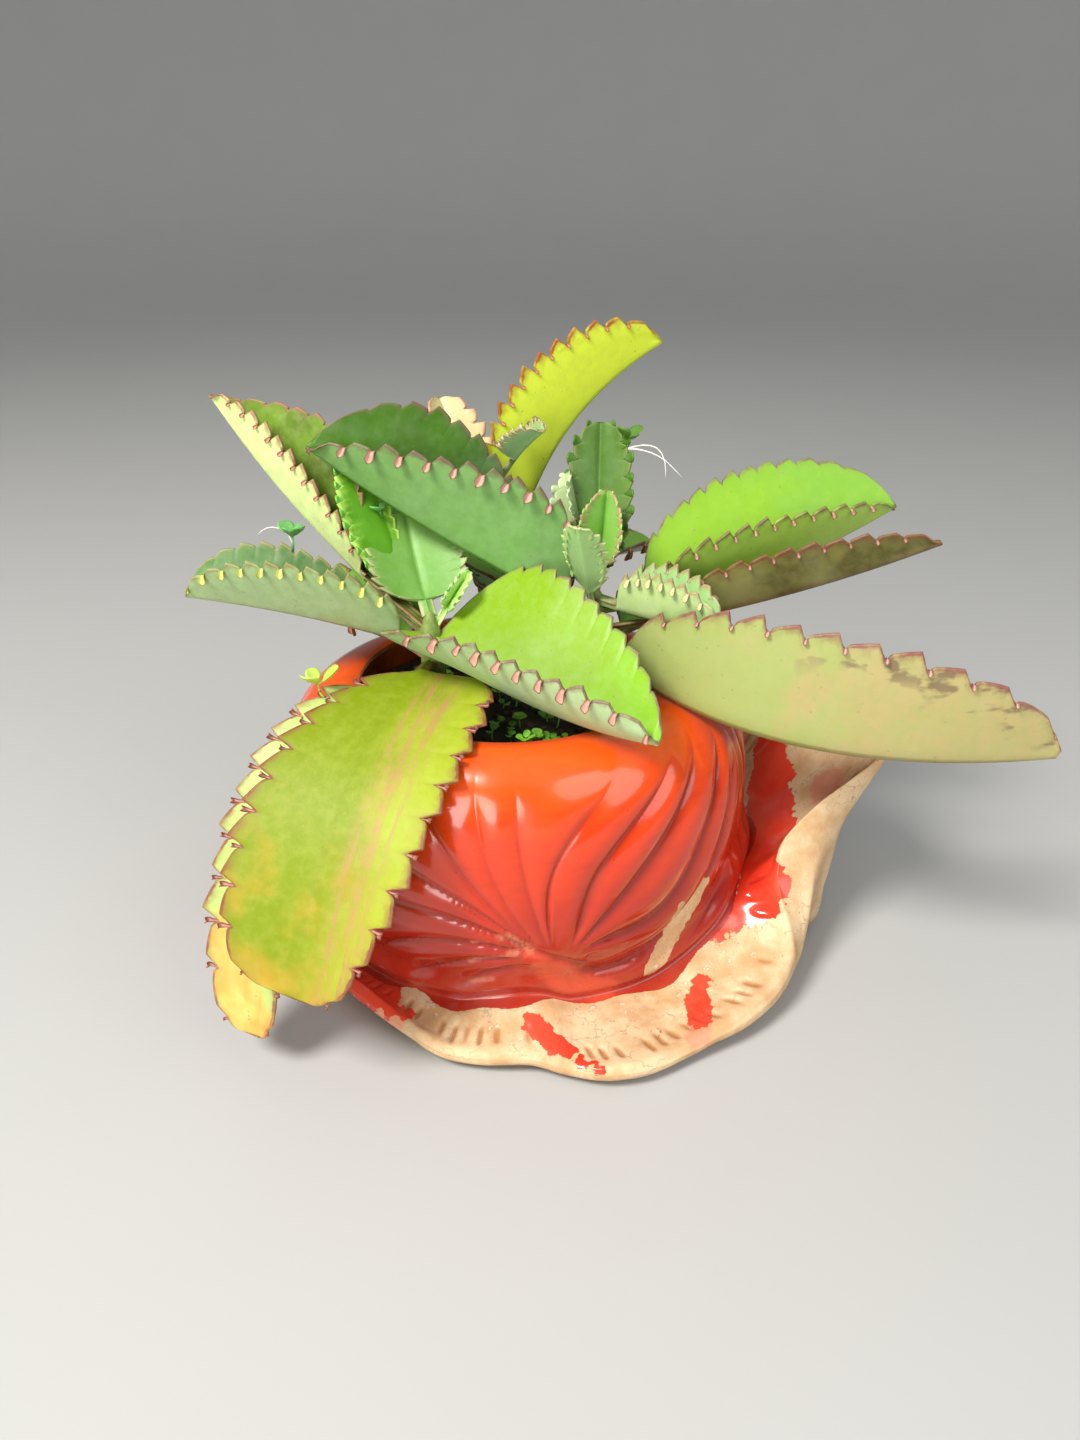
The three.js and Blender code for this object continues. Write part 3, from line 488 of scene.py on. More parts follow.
# thin scraped streaks in the glaze
PALE = [
    ((-9, -63, 37), (-2, -63, 39), 0.9), ((-2, -63, 39), (1, -64, 40), 1.3),
    ((1, -64, 40), (8, -63, 33), 1.6), ((-10, -61, 28), (-5, -61, 31), 1.0),
    ((-5, -61, 31), (3, -63, 33), 1.5), ((-11, -58, 18), (-4, -59, 20), 0.8),
    ((54, -45, 50), (50, -48, 40), 0.35), ((22, -56, 20), (37, -52, 25), 0.4),
    ((-39, -45, 13), (-14, -57, 21), 0.3),
]
# a lighter run of glaze below the umbo
TONGUE = [
    ((7, -62, 32), (14, -59, 23), 4), ((14, -59, 23), (20, -57, 15), 6), ((20, -57, 15), (30, -54, 10), 6),
]


def patch_depth(points, patches):
    """How far inside the nearest of the patches each point is, in millimetres; negative outside."""
    best = np.full(points.shape[:-1], -50.0)
    for a, b, radius in patches:
        a, b = np.array(a, float), np.array(b, float)
        d = b - a
        s = np.clip(((points - a) @ d) / max(d @ d, 1e-9), 0, 1)
        best = np.maximum(best, radius - np.linalg.norm(points - a - s[..., None] * d, axis=-1))
    return best


# spans of degrees round the pot and the step between its columns, closest in front where the ribs gather
POT_TURNS = ((-180, -135, 1.5), (-135, 0, 0.375), (0, 60, 0.75), (60, 180, 1.5))
BODY_ROWS = 84
# how far the lip's groove lies on from the first of the lip's rings
TO_GROOVE = 4.3
# tool marks on the lip: the degrees without any, the share that is there elsewhere, and ranges in millimetres
# of the step between them, their width, their length and how far in from the crest they lie
MARK_GAP, MARK_SHARE = (-83, -74), 0.88
MARK_STEP, MARK_WIDTH, MARK_LENGTH, MARK_INSET = (3.9, 5.6), (0.9, 1.25), (2.6, 3.4), (4.8, 6.0)


def pot_rows(angles, rib_depth):
    """The pot's rings, from its floor over the mouth and the lip to its foot.

    Arrays of radius, height, depth in a groove, 1 where it is inside, and distance out from the lip's groove.
    """
    groove_r, groove_z, crest_r, crest_z, wall_r, wall_z = lip_values(angles)
    foot = groove_z + 4
    inner = MOUTH_RADIUS - 1
    inside = [(0.3, FLOOR_HEIGHT), (30, FLOOR_HEIGHT), (FLOOR_RADIUS, FLOOR_HEIGHT + 1.5),
              (FLOOR_RADIUS + 7, 28), (inner + 1.5, BELLY_HEIGHT), (inner, POT_HEIGHT - 5),
              (inner + 0.3, POT_HEIGHT - 0.7)]
    rows = [(r, z, 0, 1, 99) for r, z in through([np.array(p, float) for p in inside], [2, 2, 4, 5, 6, 4])]
    for k in range(BODY_ROWS + 1):
        z = POT_HEIGHT - (POT_HEIGHT - foot) * (k / BODY_ROWS) ** 1.3
        r, deep = body_points(angles, z, foot, groove_r, rib_depth)
        rows.append((r, z, deep, 0, groove_z - z))
    start = body_points(angles, foot + 1.5, foot, groove_r, rib_depth)[0]
    lip = [(start, foot + 1.5), (groove_r + 1.5, foot), (groove_r, groove_z)]
    for s in (0.25, 0.5, 0.75):
        sag = 1.2 * np.sin(np.pi * s)
        lip.append((groove_r + (crest_r - groove_r) * s, groove_z + (crest_z - groove_z) * s ** 1.4 - sag))
    lip += [(crest_r - 1.2, crest_z), (crest_r + 0.9, crest_z - 1.4),
            (crest_r + (wall_r - crest_r) * 0.6 + 0.8, crest_z + (wall_z - crest_z) * 0.55),
            (wall_r, wall_z - 0.6), (wall_r - 3, np.maximum(2.2, wall_z * 0.4)), (wall_r - 9, FOOT_HEIGHT),
            (FOOT_RADIUS + 2, FOOT_HEIGHT), (FOOT_RADIUS, 0)]
    lip = [np.array([np.broadcast_to(v, angles.shape) for v in pair]) for pair in lip]
    dense = through(lip, [1, 6, 8, 8, 8, 8, 6, 6, 6, 5, 3, 2, 2])[2:]
    run = 0
    for point, last in zip(dense, dense[:1] + dense):
        run = run + np.linalg.norm(point - last, axis=0)
        rows.append((point[0], np.maximum(point[1], 0), 0, 0, run - TO_GROOVE))
    rows.append((0.3, 0, 0, 0, 60))
    return [np.stack([np.broadcast_to(v, angles.shape) for v in column]) for column in zip(*rows)]


def tool_marks(angles, arc, inward):
    """Short dents at uneven steps along the lip, from 0 to about 1."""
    rng = random.Random(MARKS_SEED)
    dent = np.zeros_like(inward)
    at = 2.0
    while at < arc[-1]:
        width, length, centre = (rng.uniform(*span) for span in (MARK_WIDTH, MARK_LENGTH, MARK_INSET))
        if not MARK_GAP[0] < np.interp(at, arc, angles) < MARK_GAP[1] and rng.random() < MARK_SHARE:
            mark = np.exp(-((arc - at) / width) ** 2) * np.exp(-((inward - centre) / length) ** 4)
            dent = np.maximum(dent, mark * rng.uniform(0.6, 1))
        at += rng.uniform(*MARK_STEP)
    return dent


def build_pot(rib_depth, mark_depth):
    """The pot with the values that tell its material where glaze, worn paint and bare clay are."""
    angles = np.concatenate([np.arange(*span) for span in POT_TURNS])
    turn = np.radians(angles)
    r, z, deep, within, out = pot_rows(angles, rib_depth)
    points = together(r * np.cos(turn), r * np.sin(turn), z)
    # the hand-shaped lip is uneven, with a row of tool marks just inside its edge
    on_lip = smooth(0, 6, out) * (within == 0)
    uneven = 0.5 * noise(points, 14, 1) + 0.22 * noise(points, 4.5, 2)
    crest = lip_values(angles)[2]
    steps = np.hypot(np.diff(crest * np.cos(turn)), np.diff(crest * np.sin(turn)))
    arc = np.concatenate([[0], np.cumsum(steps)])
    dent = tool_marks(angles, arc, crest - 1.2 - r) * on_lip * (z < 60) * (out < 60)
    paint = patch_depth(points, PAINT)
    raised = uneven - mark_depth * dent + 0.12 * smooth(-0.3, 0.3, paint)
    points[..., 2] = np.maximum(points[..., 2] + on_lip * smooth(0, 3, z) * raised, 0)
    # glaze ends in a wavy border just past the groove
    border = 2.4 + 1.6 * np.sin(turn * 7 + 0.6) + 1.1 * np.sin(turn * 17 + 2) - out
    border = np.where(within > 0, 20, border)
    bare, pale, faded, tongue = (patch_depth(points, patches) for patches in (BARE, PALE, FADED, TONGUE))
    values = {"coat": together(border, paint, bare), "zone": together(deep, dent + 2 * within, pale),
              "wash": together(faded, tongue, 0)}
    shells = Shells(*values)
    values = {name: rows[:, ::-1] for name, rows in values.items()}
    shells.add(points[:, ::-1], loop_faces(*r.shape), **values)
    return shells


def pot_material(settings):
    """Glossy glaze with worn paint and scraped streaks, over bare clay with tool marks and fine cracks."""
    material, n, principled = shader("glazed_shell")
    border, paint, bare = n.field("coat")
    deep, dent, pale = n.field("zone")
    faded, tongue, _ = n.field("wash")
    where = n.place()
    high = n.fill(n.new("ShaderNodeSeparateXYZ"), [0], [where]).outputs[2]
    ragged = n.minus(n.noise(where, 0.5, 5.0, 0.7), 0.5)
    flakes = n.minus(n.cells(where, 0.4), 0.45)
    jag = n.plus(n.times(ragged, 4.5), n.times(flakes, 2.2))
    on_body = n.above(n.plus(border, n.times(ragged, 1.6)), 0.0)
    on_patch = n.above(n.plus(paint, jag), 0.0)
    off = n.above(n.plus(bare, n.times(jag, 0.6)), 0.0)
    glazed = n.times(n.math("MAXIMUM", on_body, on_patch), n.minus(1.0, off))
    # glaze: orange towards the shoulder and deep red below, partly from how thin the glaze runs and partly
    # painted light on the upward-facing shoulder with painted shade lower down; darker still in the grooves,
    # which is painted shade
    cloudy = n.noise(where, 0.045, 4.0, 0.6)
    streaky = n.noise(n.place((70, 70, 400)), 1.0, 3.0, 0.6)
    glaze_and_light_height = n.plus(high, n.times(n.minus(cloudy, 0.5), 34.0))
    # painted light and shade: orange rising towards the shoulder over a darker red low down, on top of the
    # glaze's own change
    glaze = n.mix(n.ramp(glaze_and_light_height, 22.0, 80.0), "a3200f", list(settings.glaze) + [1])
    glaze = n.mix(n.ramp(glaze_and_light_height, 70.0, 94.0, 0.0, 0.85), glaze, "e4520c")
    # painted shade: darker red deep in the grooves between the ribs
    glaze = n.mix(n.times(n.ramp(deep, 0.15, 0.9), 0.7), glaze, "6e0f06")
    glaze = n.mix(n.ramp(streaky, 0.5, 0.75, 0.0, 0.2), glaze, "8f1d0c")
    wash = n.ramp(n.plus(tongue, n.times(ragged, 5.0)), -0.5, 3.0, 0.0, 0.7)
    glaze = n.mix(n.times(wash, n.below(high, 40.0)), glaze, "d2492c")
    paint_colour = n.mix(n.ramp(cloudy, 0.3, 0.7), "cf2e1a", "e24a30")
    glaze = n.mix(n.times(on_patch, n.minus(1.0, on_body)), glaze, paint_colour)
    # painted reflection: a lighter pinkish band low down on the glaze, which is also made rougher like dust
    low = n.times(n.ramp(high, 30.0, 8.0), n.ramp(cloudy, 0.3, 0.7, 0.1, 0.35))
    glaze = n.mix(low, glaze, "b8523c")
    within = n.above(dent, 1.5)
    glaze = n.mix(within, glaze, n.mix(n.ramp(cloudy, 0.3, 0.7), "6a2a0e", "a0441a"))
    scraped = n.ramp(n.plus(pale, n.times(ragged, 2.2)), -0.6, 0.7)
    glaze = n.mix(n.times(scraped, 0.45), glaze, "d88a68")
    # bare clay: warm cream, browner along the cracks and pink where paint has faded, with painted shade
    # browning it low down and in the tool marks
    blush = n.noise(where, 0.08, 5.0, 0.6)
    grain = n.noise(where, 1.6, 5.0, 0.65)
    clay = n.mix(n.ramp(blush, 0.35, 0.65), list(settings.clay) + [1], "d9bd95")
    clay = n.mix(n.ramp(grain, 0.5, 0.8, 0.0, 0.3), clay, "a98557")
    # painted shade: the clay browns low down towards the floor
    foot = n.ramp(n.plus(high, n.times(blush, 8.0)), 11.0, 5.0)
    clay = n.mix(n.times(foot, 0.5), clay, "94714a")
    # painted shade: brown in the hollows of the tool marks
    marks = n.times(n.ramp(dent, 0.12, 0.8), n.below(dent, 1.2))
    clay = n.mix(n.times(marks, 0.8), clay, "a0682f")
    pink = n.times(n.ramp(n.plus(faded, jag), -1.0, 1.5), 0.6)
    clay = n.mix(pink, clay, "dc8068")
    wander = n.fill(n.new("ShaderNodeTexNoise"), ("Vector", "Scale"), (where, 0.4)).outputs["Color"]
    bent = n.new("ShaderNodeVectorMath", operation="MULTIPLY_ADD")
    bent = n.fill(bent, range(3), (wander, (4, 4, 4), where)).outputs[0]
    edges = n.cells(bent, 0.11, feature="DISTANCE_TO_EDGE")
    crack = n.times(n.below(edges, 0.009), n.ramp(blush, 0.5, 0.6))
    clay = n.mix(n.times(crack, 0.5), clay, "8a6a45")
    # thin scales peel off the clay near the glaze's border
    peel = n.ramp(n.plus(n.times(ragged, 7.0), flakes), 0.75, 1.0)
    peel = n.times(peel, n.ramp(n.plus(border, 17.0), 0.0, 5.0))
    clay = n.mix(n.times(peel, 0.6), clay, "e6d6ba")
    colour = n.mix(n.times(n.specks(3.5, 0.05), 0.5), n.mix(glazed, clay, glaze), "4a2c18")
    gloss = n.plus(n.ramp(cloudy, 0.3, 0.7, 0.14, 0.24), n.times(low, 0.3))
    roughness = n.blend(glazed, n.ramp(grain, 0.2, 0.8, 0.62, 0.8), gloss)
    rough = n.plus(n.times(grain, 0.2), n.times(blush, 0.5))
    rough = n.plus(rough, n.minus(n.times(peel, 0.25), n.times(crack, 0.3)))
    thick = n.plus(0.62, n.times(n.noise(where, 0.2, 2.0), 0.14))
    n.surface(principled, colour, roughness, n.blend(glazed, rough, thick), 0.5)
    n.plug(principled.inputs["Coat Weight"], n.times(glazed, 0.35))
    principled.inputs["Coat Roughness"].default_value = 0.06
    return material


# Soil and stems

SOIL_HEIGHT = 81
STEMS = {
    "left": ([(-22, -4, 68.3), (-22, -4, 84), (-22.5, -4.5, 96), (-23, -5, 106), (-23, -5, 113)],
             [3.4, 3.4, 3.6, 3.2, 1.6]),
    "right": ([(26, 4, 68.3), (26, 4, 84), (26.5, 4, 96), (27, 4, 108), (27, 4, 117)],
              [3.4, 3.4, 3.8, 3.2, 1.6]),
    "back": ([(4, 20, 68.3), (4, 20, 84), (3.5, 22, 100), (2, 26, 118), (0, 27, 132), (-4, 24, 146)],
             [3.2, 3.2, 3.2, 2.8, 2, 1.2]),
}


def soil_top(x, y):
    """Height of the soil's surface."""
    p = together(x, y, 0)
    return (SOIL_HEIGHT + 0.9 * noise(p, 16, 3) + 0.7 * noise(p, 5, 4) + 0.35 * noise(p, 2, 6)
            + 1.5 * smooth(38, 45, np.hypot(x, y)))


def soil_spot(rng, radius):
    """A random place within a radius on the soil."""
    r, turn = radius * math.sqrt(rng.random()), rng.uniform(0, 2 * math.pi)
    return r * math.cos(turn), r * math.sin(turn)


def near_stem(x, y, reach):
    """Whether a place on the soil is within reach of a stem."""
    return any(math.hypot(x - axis[0][0], y - axis[0][1]) < reach for axis, _ in STEMS.values())


def build_soil():
    """The bed of soil that fills the pot."""
    turns = np.radians(np.arange(0, 360, 2.5))
    wall = [(0.3, FLOOR_HEIGHT + 0.3), (FLOOR_RADIUS - 0.6, FLOOR_HEIGHT + 0.3), (FLOOR_RADIUS + 6.2, 28),
            (MOUTH_RADIUS - 0.3, BELLY_HEIGHT), (MOUTH_RADIUS - 1.5, SOIL_HEIGHT - 2)]
    rings = [together(r * np.cos(turns), r * np.sin(turns), z) for r, z in wall]
    for r in np.linspace(MOUTH_RADIUS - 1.6, 0.3, 56):
        x, y = r * np.cos(turns), r * np.sin(turns)
        rings.append(together(x, y, soil_top(x, y)))
    shells = Shells()
    shells.add(np.array(rings), loop_faces(len(rings), len(turns)))
    return shells


def crumb(rng, centre, size):
    """A small uneven lump."""
    golden = math.pi * (3 - math.sqrt(5))
    rings, sides = 5, 7
    points = []
    for k in range(rings):
        lean = math.pi * (k + 0.5) / rings
        for j in range(sides):
            turn = 2 * math.pi * j / sides + golden * k
            r = size * rng.uniform(0.75, 1.2)
            across = r * math.sin(lean)
            points.append((across * math.cos(turn), across * math.sin(turn), 0.7 * r * math.cos(lean)))
    return np.array(points) + centre, loop_faces(rings, sides)


# crumbs and seedlings: how far out they spread, how far from a stem they keep, and sizes of crumbs, in mm
CRUMB_SPREAD, CRUMB_GAP, CRUMB_SIZES = 44, 6, (0.5, 1.7)
SEEDLING_SPREAD, SEEDLING_GAP = 41, 7
# behind this line most seedlings are left out
FRONT_LINE, LEFT_OUT = -12, 0.6


def build_crumbs(count):
    """Loose crumbs of soil."""
    rng = random.Random(CRUMBS_SEED)
    shells = Shells()
    while count:
        x, y = soil_spot(rng, CRUMB_SPREAD)
        if near_stem(x, y, CRUMB_GAP):
            continue
        size = rng.uniform(*CRUMB_SIZES)
        shells.add(*crumb(rng, (x, y, soil_top(x, y) + size * 0.2), size))
        count -= 1
    return shells


# heights of the first and last ring of scars on a stem, and the step between them
SCARS = (86, 146, 7.5)


def build_stem(axis, radii):
    """A round stem with bumps where old leaves were, and a rounded end."""
    axis = [np.array(p, float) for p in axis]
    steps = [6] * (len(axis) - 1)
    path = np.array(through(axis, steps))
    width = np.array(through([np.array([r]) for r in radii], steps))[:, 0]
    along = unit(np.gradient(path, axis=0))
    side = unit(np.cross([1.0, 0, 0], along))
    front = np.cross(along, side)
    turns = np.radians(np.arange(0, 360, 15))[:, None]
    scars = sum(0.35 * np.exp(-((path[:, 2] - z) / 0.8) ** 2) for z in np.arange(*SCARS))
    rings = np.array([centre + (width[k] + scars[k]) * (np.cos(turns) * side[k] + np.sin(turns) * front[k])
                      for k, centre in enumerate(path)])
    rings = rings + unit(rings - path[:, None]) * (0.25 * noise(rings, 2.2, 8))[..., None]
    end = path[-1] + along[-1] * width[-1] * 0.7 + 0.35 * (rings[-1] - path[-1])
    rings = np.concatenate([rings, end[None]])
    shells = Shells()
    shells.add(rings, loop_faces(len(rings), len(turns)))
    return shells


def build_seedlings(count):
    """Round-leaved seedlings in little crosses on the soil, most of them in front."""
    rng = random.Random(SEEDLINGS_SEED)
    shells = Shells()
    while count:
        x, y = soil_spot(rng, SEEDLING_SPREAD)
        if (y > FRONT_LINE and rng.random() < LEFT_OUT) or near_stem(x, y, SEEDLING_GAP):
            continue
        base = np.array([x, y, soil_top(x, y)])
        height = rng.uniform(1.2, 4.0)
        lean = np.array([rng.uniform(-0.3, 0.3), rng.uniform(-0.3, 0.3), 1.0])
        head = base + lean * height
        shells.add(*tube([base - [0, 0, 1], head], 0.35, 5))
        start = rng.uniform(0, math.pi)
        leaves = rng.choice([2, 4, 4])
        for k in range(leaves):
            turn = start + 2 * math.pi * k / leaves
            out = np.array([math.cos(turn), math.sin(turn), rng.uniform(0.0, 0.35)])
            points, faces, _ = spoon(head, unit(out), np.array([0, 0, 1.0]), rng.uniform(2.2, 3.6),
                                     rng.uniform(1.0, 1.7), -0.4, 0.35)
            shells.add(points, faces)
        count -= 1
    return shells


def tube(path, radius, sides):
    """A thin round strand through points, thinner towards its end."""
    path = np.array(path, float)
    along = unit(np.gradient(path, axis=0))
    side = unit(np.cross(along, [0.31, 0.17, 0.93]))
    up = np.cross(side, along)
    turns = np.linspace(0, 2 * math.pi, sides, endpoint=False)[:, None]
    radii = radius * np.linspace(1, 0.45, len(path))
    rings = [p + r * (np.cos(turns) * s + np.sin(turns) * u) for p, r, s, u in zip(path, radii, side, up)]
    return np.array(rings), loop_faces(len(path), sides)


def spoon(base, out, face, length, half, curl, cup, bend=(0.0, 1.0), hook=0.0, drop=False):
    """A little cupped leaf, round or drop-shaped.

    It leaves base along out, curls away from face by the angle curl between two shares of its length, and
    turns back by the angle hook at its end. Gives points, faces, and how far each point is along, across and
    in from the edge.
    """
    rows, columns = 11, 7
    out, face = np.asarray(out, float), np.asarray(face, float)
    face = unit(face - out * (face @ out))
    along = np.cross(face, out)
    a = np.linspace(0, 1, rows)
    a = a ** 0.8 if bend[1] < 0.9 else a
    turn = curl * np.clip((a - bend[0]) / (bend[1] - bend[0]), 0, 1) - hook * smooth(0.6, 1, a)
    ahead = np.cos(turn)[:, None] * out - np.sin(turn)[:, None] * face
    steps = (ahead[1:] + ahead[:-1]) / 2 * (np.diff(a) * length)[:, None]
    centre = base + np.concatenate([np.zeros((1, 3)), np.cumsum(steps, axis=0)])
    radial = np.sin(turn)[:, None] * out + np.cos(turn)[:, None] * face
    if drop:
        neck, end = 0.62 + 0.38 * smooth(0.3, 0.65, a), np.clip(1 - smooth(0.72, 1, a) ** 2, 0.02, 1)
    else:
        neck, end = np.where(a < 0.3, 0.25 + 0.3 * a, 1), np.clip(1 - ((a - 0.62) / 0.4) ** 2, 0.03, 1)
    width = half * neck * np.sqrt(end)
    b = np.linspace(-1, 1, columns)
    thick = 0.24 * min(1.0, half / 1.2)
    spread = b * width[:, None]
    lift = (cup * width)[:, None] * b * b
    middle = centre[:, None] + spread[..., None] * along + lift[..., None] * radial[:, None]
    body = (thick * np.sqrt(np.clip(1 - b ** 4, 0.05, 1)))[:, None] * radial[:, None]
    rings = np.concatenate([middle + body, (middle - body)[:, ::-1]], axis=1)
    inset = width[:, None] * (1 - np.abs(b))
    inset = np.minimum(np.concatenate([inset, inset[:, ::-1]], 1), ((1 - a) * length)[:, None])
    across = width[:, None] * np.concatenate([b, b[::-1]])[None, :]
    values = together((a * length)[:, None], across, inset).reshape(-1, 3)
    return rings.reshape(-1, 3), loop_faces(rows, 2 * columns), values


# The leaves

def half(width, fold, curl, base, tip, ear=0):
    """One half of a blade: width in mm, fold up from the midrib and curl across in degrees.

    Base and tip are the powers by which it widens and narrows, and ear is how far it reaches back, in mm.
    """
    return {"width": width, "fold": fold, "curl": curl, "base": base, "tip": tip, "ear": ear}


def leaf(stem, start, to, left, right, teeth, depth, slot, **more):
    """A leaf from a height on its stem to its tip, with its halves and its number and depth of teeth; its
    slot is not used.

    The midrib's middle can rise by arch and turn aside by sway, both in mm and at the share bend. The blade
    is turned by roll and twist, in degrees, and lies open at its base by the share open. Stalk is a share.
    """
    usual = {"arch": 0, "sway": 0, "bend": 0.5, "roll": 0, "twist": 0, "open": 0, "stalk": 0.2,
             "young": False}
    return {**usual, "stem": stem, "start": start, "to": to, "left": left, "right": right, "teeth": teeth,
            "depth": depth, "slot": slot, **more}


BACK_HALF = half(17, 20, 10, 0.45, 0.5)
LEAVES = {
    "leaf_drooping": leaf("left", 98, (-54, -86, 36), half(24, -12, 14, 0.08, 0.3),
                          half(25, 4, 12, 0.5, 0.2), 10, 2.4, "leaf_yellow", arch=48, sway=-9, stalk=0.08),
    "leaf_drooping_low": leaf("left", 94.5, (-70, -75, 13), half(8, 2, 10, 0.5, 0.25),
                              half(18, 6, 10, 0.4, 0.25), 10, 2.4, "leaf_olive", arch=54, sway=4, bend=0.3,
                              stalk=0.2),
    "leaf_front": leaf("left", 106.5, (41, -58, 98), half(35.5, 45, 14, 0.22, 0.6, 6),
                       half(28, 28, 42, 0.1, 0.5, 12), 11, 2.4, "leaf_fresh", arch=-11.5, twist=-16,
                       open=0.6, stalk=0.06),
    "leaf_across": leaf("right", 110, (-57, 5, 161), half(25, 72, 10, 0.3, 0.75),
                        half(30, 55, 10, 0.9, 0.6), 11, 2.2, "leaf_blue", arch=-5, twist=-40, stalk=0.12),
    "leaf_upper_left": leaf("left", 108, (-88, 24, 172), half(15, 66, 10, 0.7, 0.7),
                            half(24, 62, 10, 1.2, 1.2), 12, 2, "leaf_olive", arch=-8, sway=-2, roll=-6,
                            twist=10, stalk=0.26),
    "leaf_left": leaf("left", 103, (-95, -4, 119), half(20, 54, 10, 0.3, 0.5), half(18, 54, 10, 0.8, 0.5),
                      11, 2, "leaf_blue", arch=4, stalk=0.14),
    "leaf_left_back": leaf("left", 104, (-50, 47, 147), half(14, 25, 10, 0.45, 0.5),
                           half(14, 25, 10, 0.45, 0.5), 8, 1.6, "leaf_dark", stalk=0.35),
    "leaf_left_round": leaf("left", 112.5, (-31, 16, 138), half(15.5, 15, 10, 0.25, 0.35),
                            half(14, 15, 10, 0.25, 0.35), 8, 1.4, "leaf_blue", arch=-4, stalk=0.16),
    "leaf_behind": leaf("back", 114, (-23, 56, 165), half(12, 20, 10, 0.4, 0.35),
                        half(9, 20, 10, 0.4, 0.35), 8, 1.8, "leaf_blush", stalk=0.3),
    "leaf_tall": leaf("back", 124, (48, 48, 184), half(14.5, 30, 10, 0.5, 0.6), half(22, 50, 10, 0.35, 0.5),
                      12, 2.2, "leaf_yellow", arch=13, sway=-12, roll=-30, stalk=0.15),
    "leaf_upper_right": leaf("right", 111, (119, 18, 140), half(30, 56, 10, 0.42, 0.45),
                             half(22, 52, 10, 0.45, 0.8), 12, 2, "leaf_fresh", arch=-11, stalk=0.16),
    "leaf_right": leaf("right", 104.5, (122, -16, 139), half(17, -4, 0, 0.4, 0.6),
                       half(15, 58, 10, 0.4, 0.6), 11, 1.8, "leaf_olive", arch=-6, stalk=0.2),
    "leaf_lower_right": leaf("right", 102, (153, -45, 87), half(24, 55, 5, 0.3, 0.6),
                             half(33, 82, 5, 0.45, 0.5), 11, 2.4, "leaf_pale", arch=-12, sway=42, bend=0.42,
                             stalk=0.1),
    "leaf_back_left": leaf("back", 108, (-40, 92, 112), BACK_HALF, BACK_HALF, 8, 2, "leaf_fresh",
                           arch=8, stalk=0.14),
    "leaf_back": leaf("back", 98, (5, 98, 84), half(19, 15, 10, 0.4, 0.5), half(19, 15, 10, 0.4, 0.5), 8, 2,
                      "leaf_olive", arch=14, stalk=0.14),
    "leaf_back_right": leaf("back", 105, (56, 86, 104), BACK_HALF, BACK_HALF, 8, 2, "leaf_fresh", arch=12,
                            stalk=0.14),
    "leaf_right_back": leaf("right", 98, (96, 66, 100), BACK_HALF, BACK_HALF, 8, 2, "leaf_fresh",
                            arch=8, stalk=0.16),
    "leaf_left_rear": leaf("left", 98, (-84, 52, 100), BACK_HALF, BACK_HALF, 8, 2, "leaf_fresh",
                           arch=8, stalk=0.16),
    "young_leaf_left": leaf("left", 107, (-11, 0, 125), half(4, 60, 0, 0.35, 0.5),
                            half(4, 60, 0, 0.35, 0.5), 5, 0.8, "leaf_fresh", roll=60, stalk=0.4,
                            young=True),
    "young_leaf_hooked": leaf("back", 144, (11, 16, 163), half(8, 30, 10, 0.35, 0.5),
                              half(7, 30, 10, 0.35, 0.5), 6, 1.4, "leaf_blue", arch=3, stalk=0.45,
                              young=True),
    "young_leaf_shaded": leaf("right", 109.3, (28.5, 28, 163), half(8.5, 20, 10, 0.4, 0.35),
                              half(9.5, 20, 10, 0.4, 0.35), 8, 1.6, "leaf_dark", arch=-4, stalk=0.25,
                              young=True),
    "young_leaf_edge": leaf("right", 110.5, (18.5, 18, 150), half(6, 60, 0, 0.35, 0.5),
                            half(6, 60, 0, 0.35, 0.5), 7, 1.2, "leaf_pale", roll=-70, stalk=0.35,
                            young=True),
    "young_leaf_middle": leaf("right", 115.4, (30, 9, 147), half(9, 50, 0, 0.4, 0.5),
                              half(9, 50, 0, 0.4, 0.5), 7, 1.2, "leaf_dark", roll=20, stalk=0.3,
                              young=True),
    "young_leaf_pale": leaf("right", 107, (20.5, -12, 142), half(6, 30, 0, 0.4, 0.5),
                            half(8, 30, 0, 0.4, 0.5), 7, 1.2, "leaf_blue", stalk=0.35, young=True),
    "young_leaf_right": leaf("right", 114.6, (61, -24, 116), half(14, 62, 10, 0.3, 0.45),
                             half(13, 70, 10, 0.3, 0.45), 8, 1.6, "leaf_blue", arch=-2, stalk=0.2),
}
# a slip of a leaf between the left blades; it has no solid of its own
SLIPS = {
    "leaf_left_slip": leaf("left", 98, (-45, 18, 160), half(13, 0, 6, 0.45, 0.5), half(3, 0, 6, 0.45, 0.5),
                           11, 1.2, "leaf_fresh", stalk=0.35),
}


def midrib(shape, t):
    """Points of the midrib with the directions along it, out of the blade's face and to its right."""
    axis = np.array(STEMS[shape["stem"]][0], float)
    z = shape["start"]
    start = np.array([np.interp(z, axis[:, 2], axis[:, k]) for k in range(2)] + [z])
    to = np.array(shape["to"], float)
    chord = unit(to - start)
    side = unit(np.cross(chord, [0, 0, 1.0]))
    up = np.cross(side, chord)
    control = start + (to - start) * shape["bend"] + up * shape["arch"] + side * shape["sway"]
    t = np.asarray(t, float)[:, None]
    point = start * (1 - t) ** 2 + control * 2 * t * (1 - t) + to * t * t
    along = unit((control - start) * 2 * (1 - t) + (to - control) * 2 * t)
    roll = np.radians(shape["roll"] + shape["twist"] * (t - 0.5))
    face = up * np.cos(roll) + side * np.sin(roll)
    face = unit(face - along * (along * face).sum(1, keepdims=True))
    return point, along, face, np.cross(along, face)


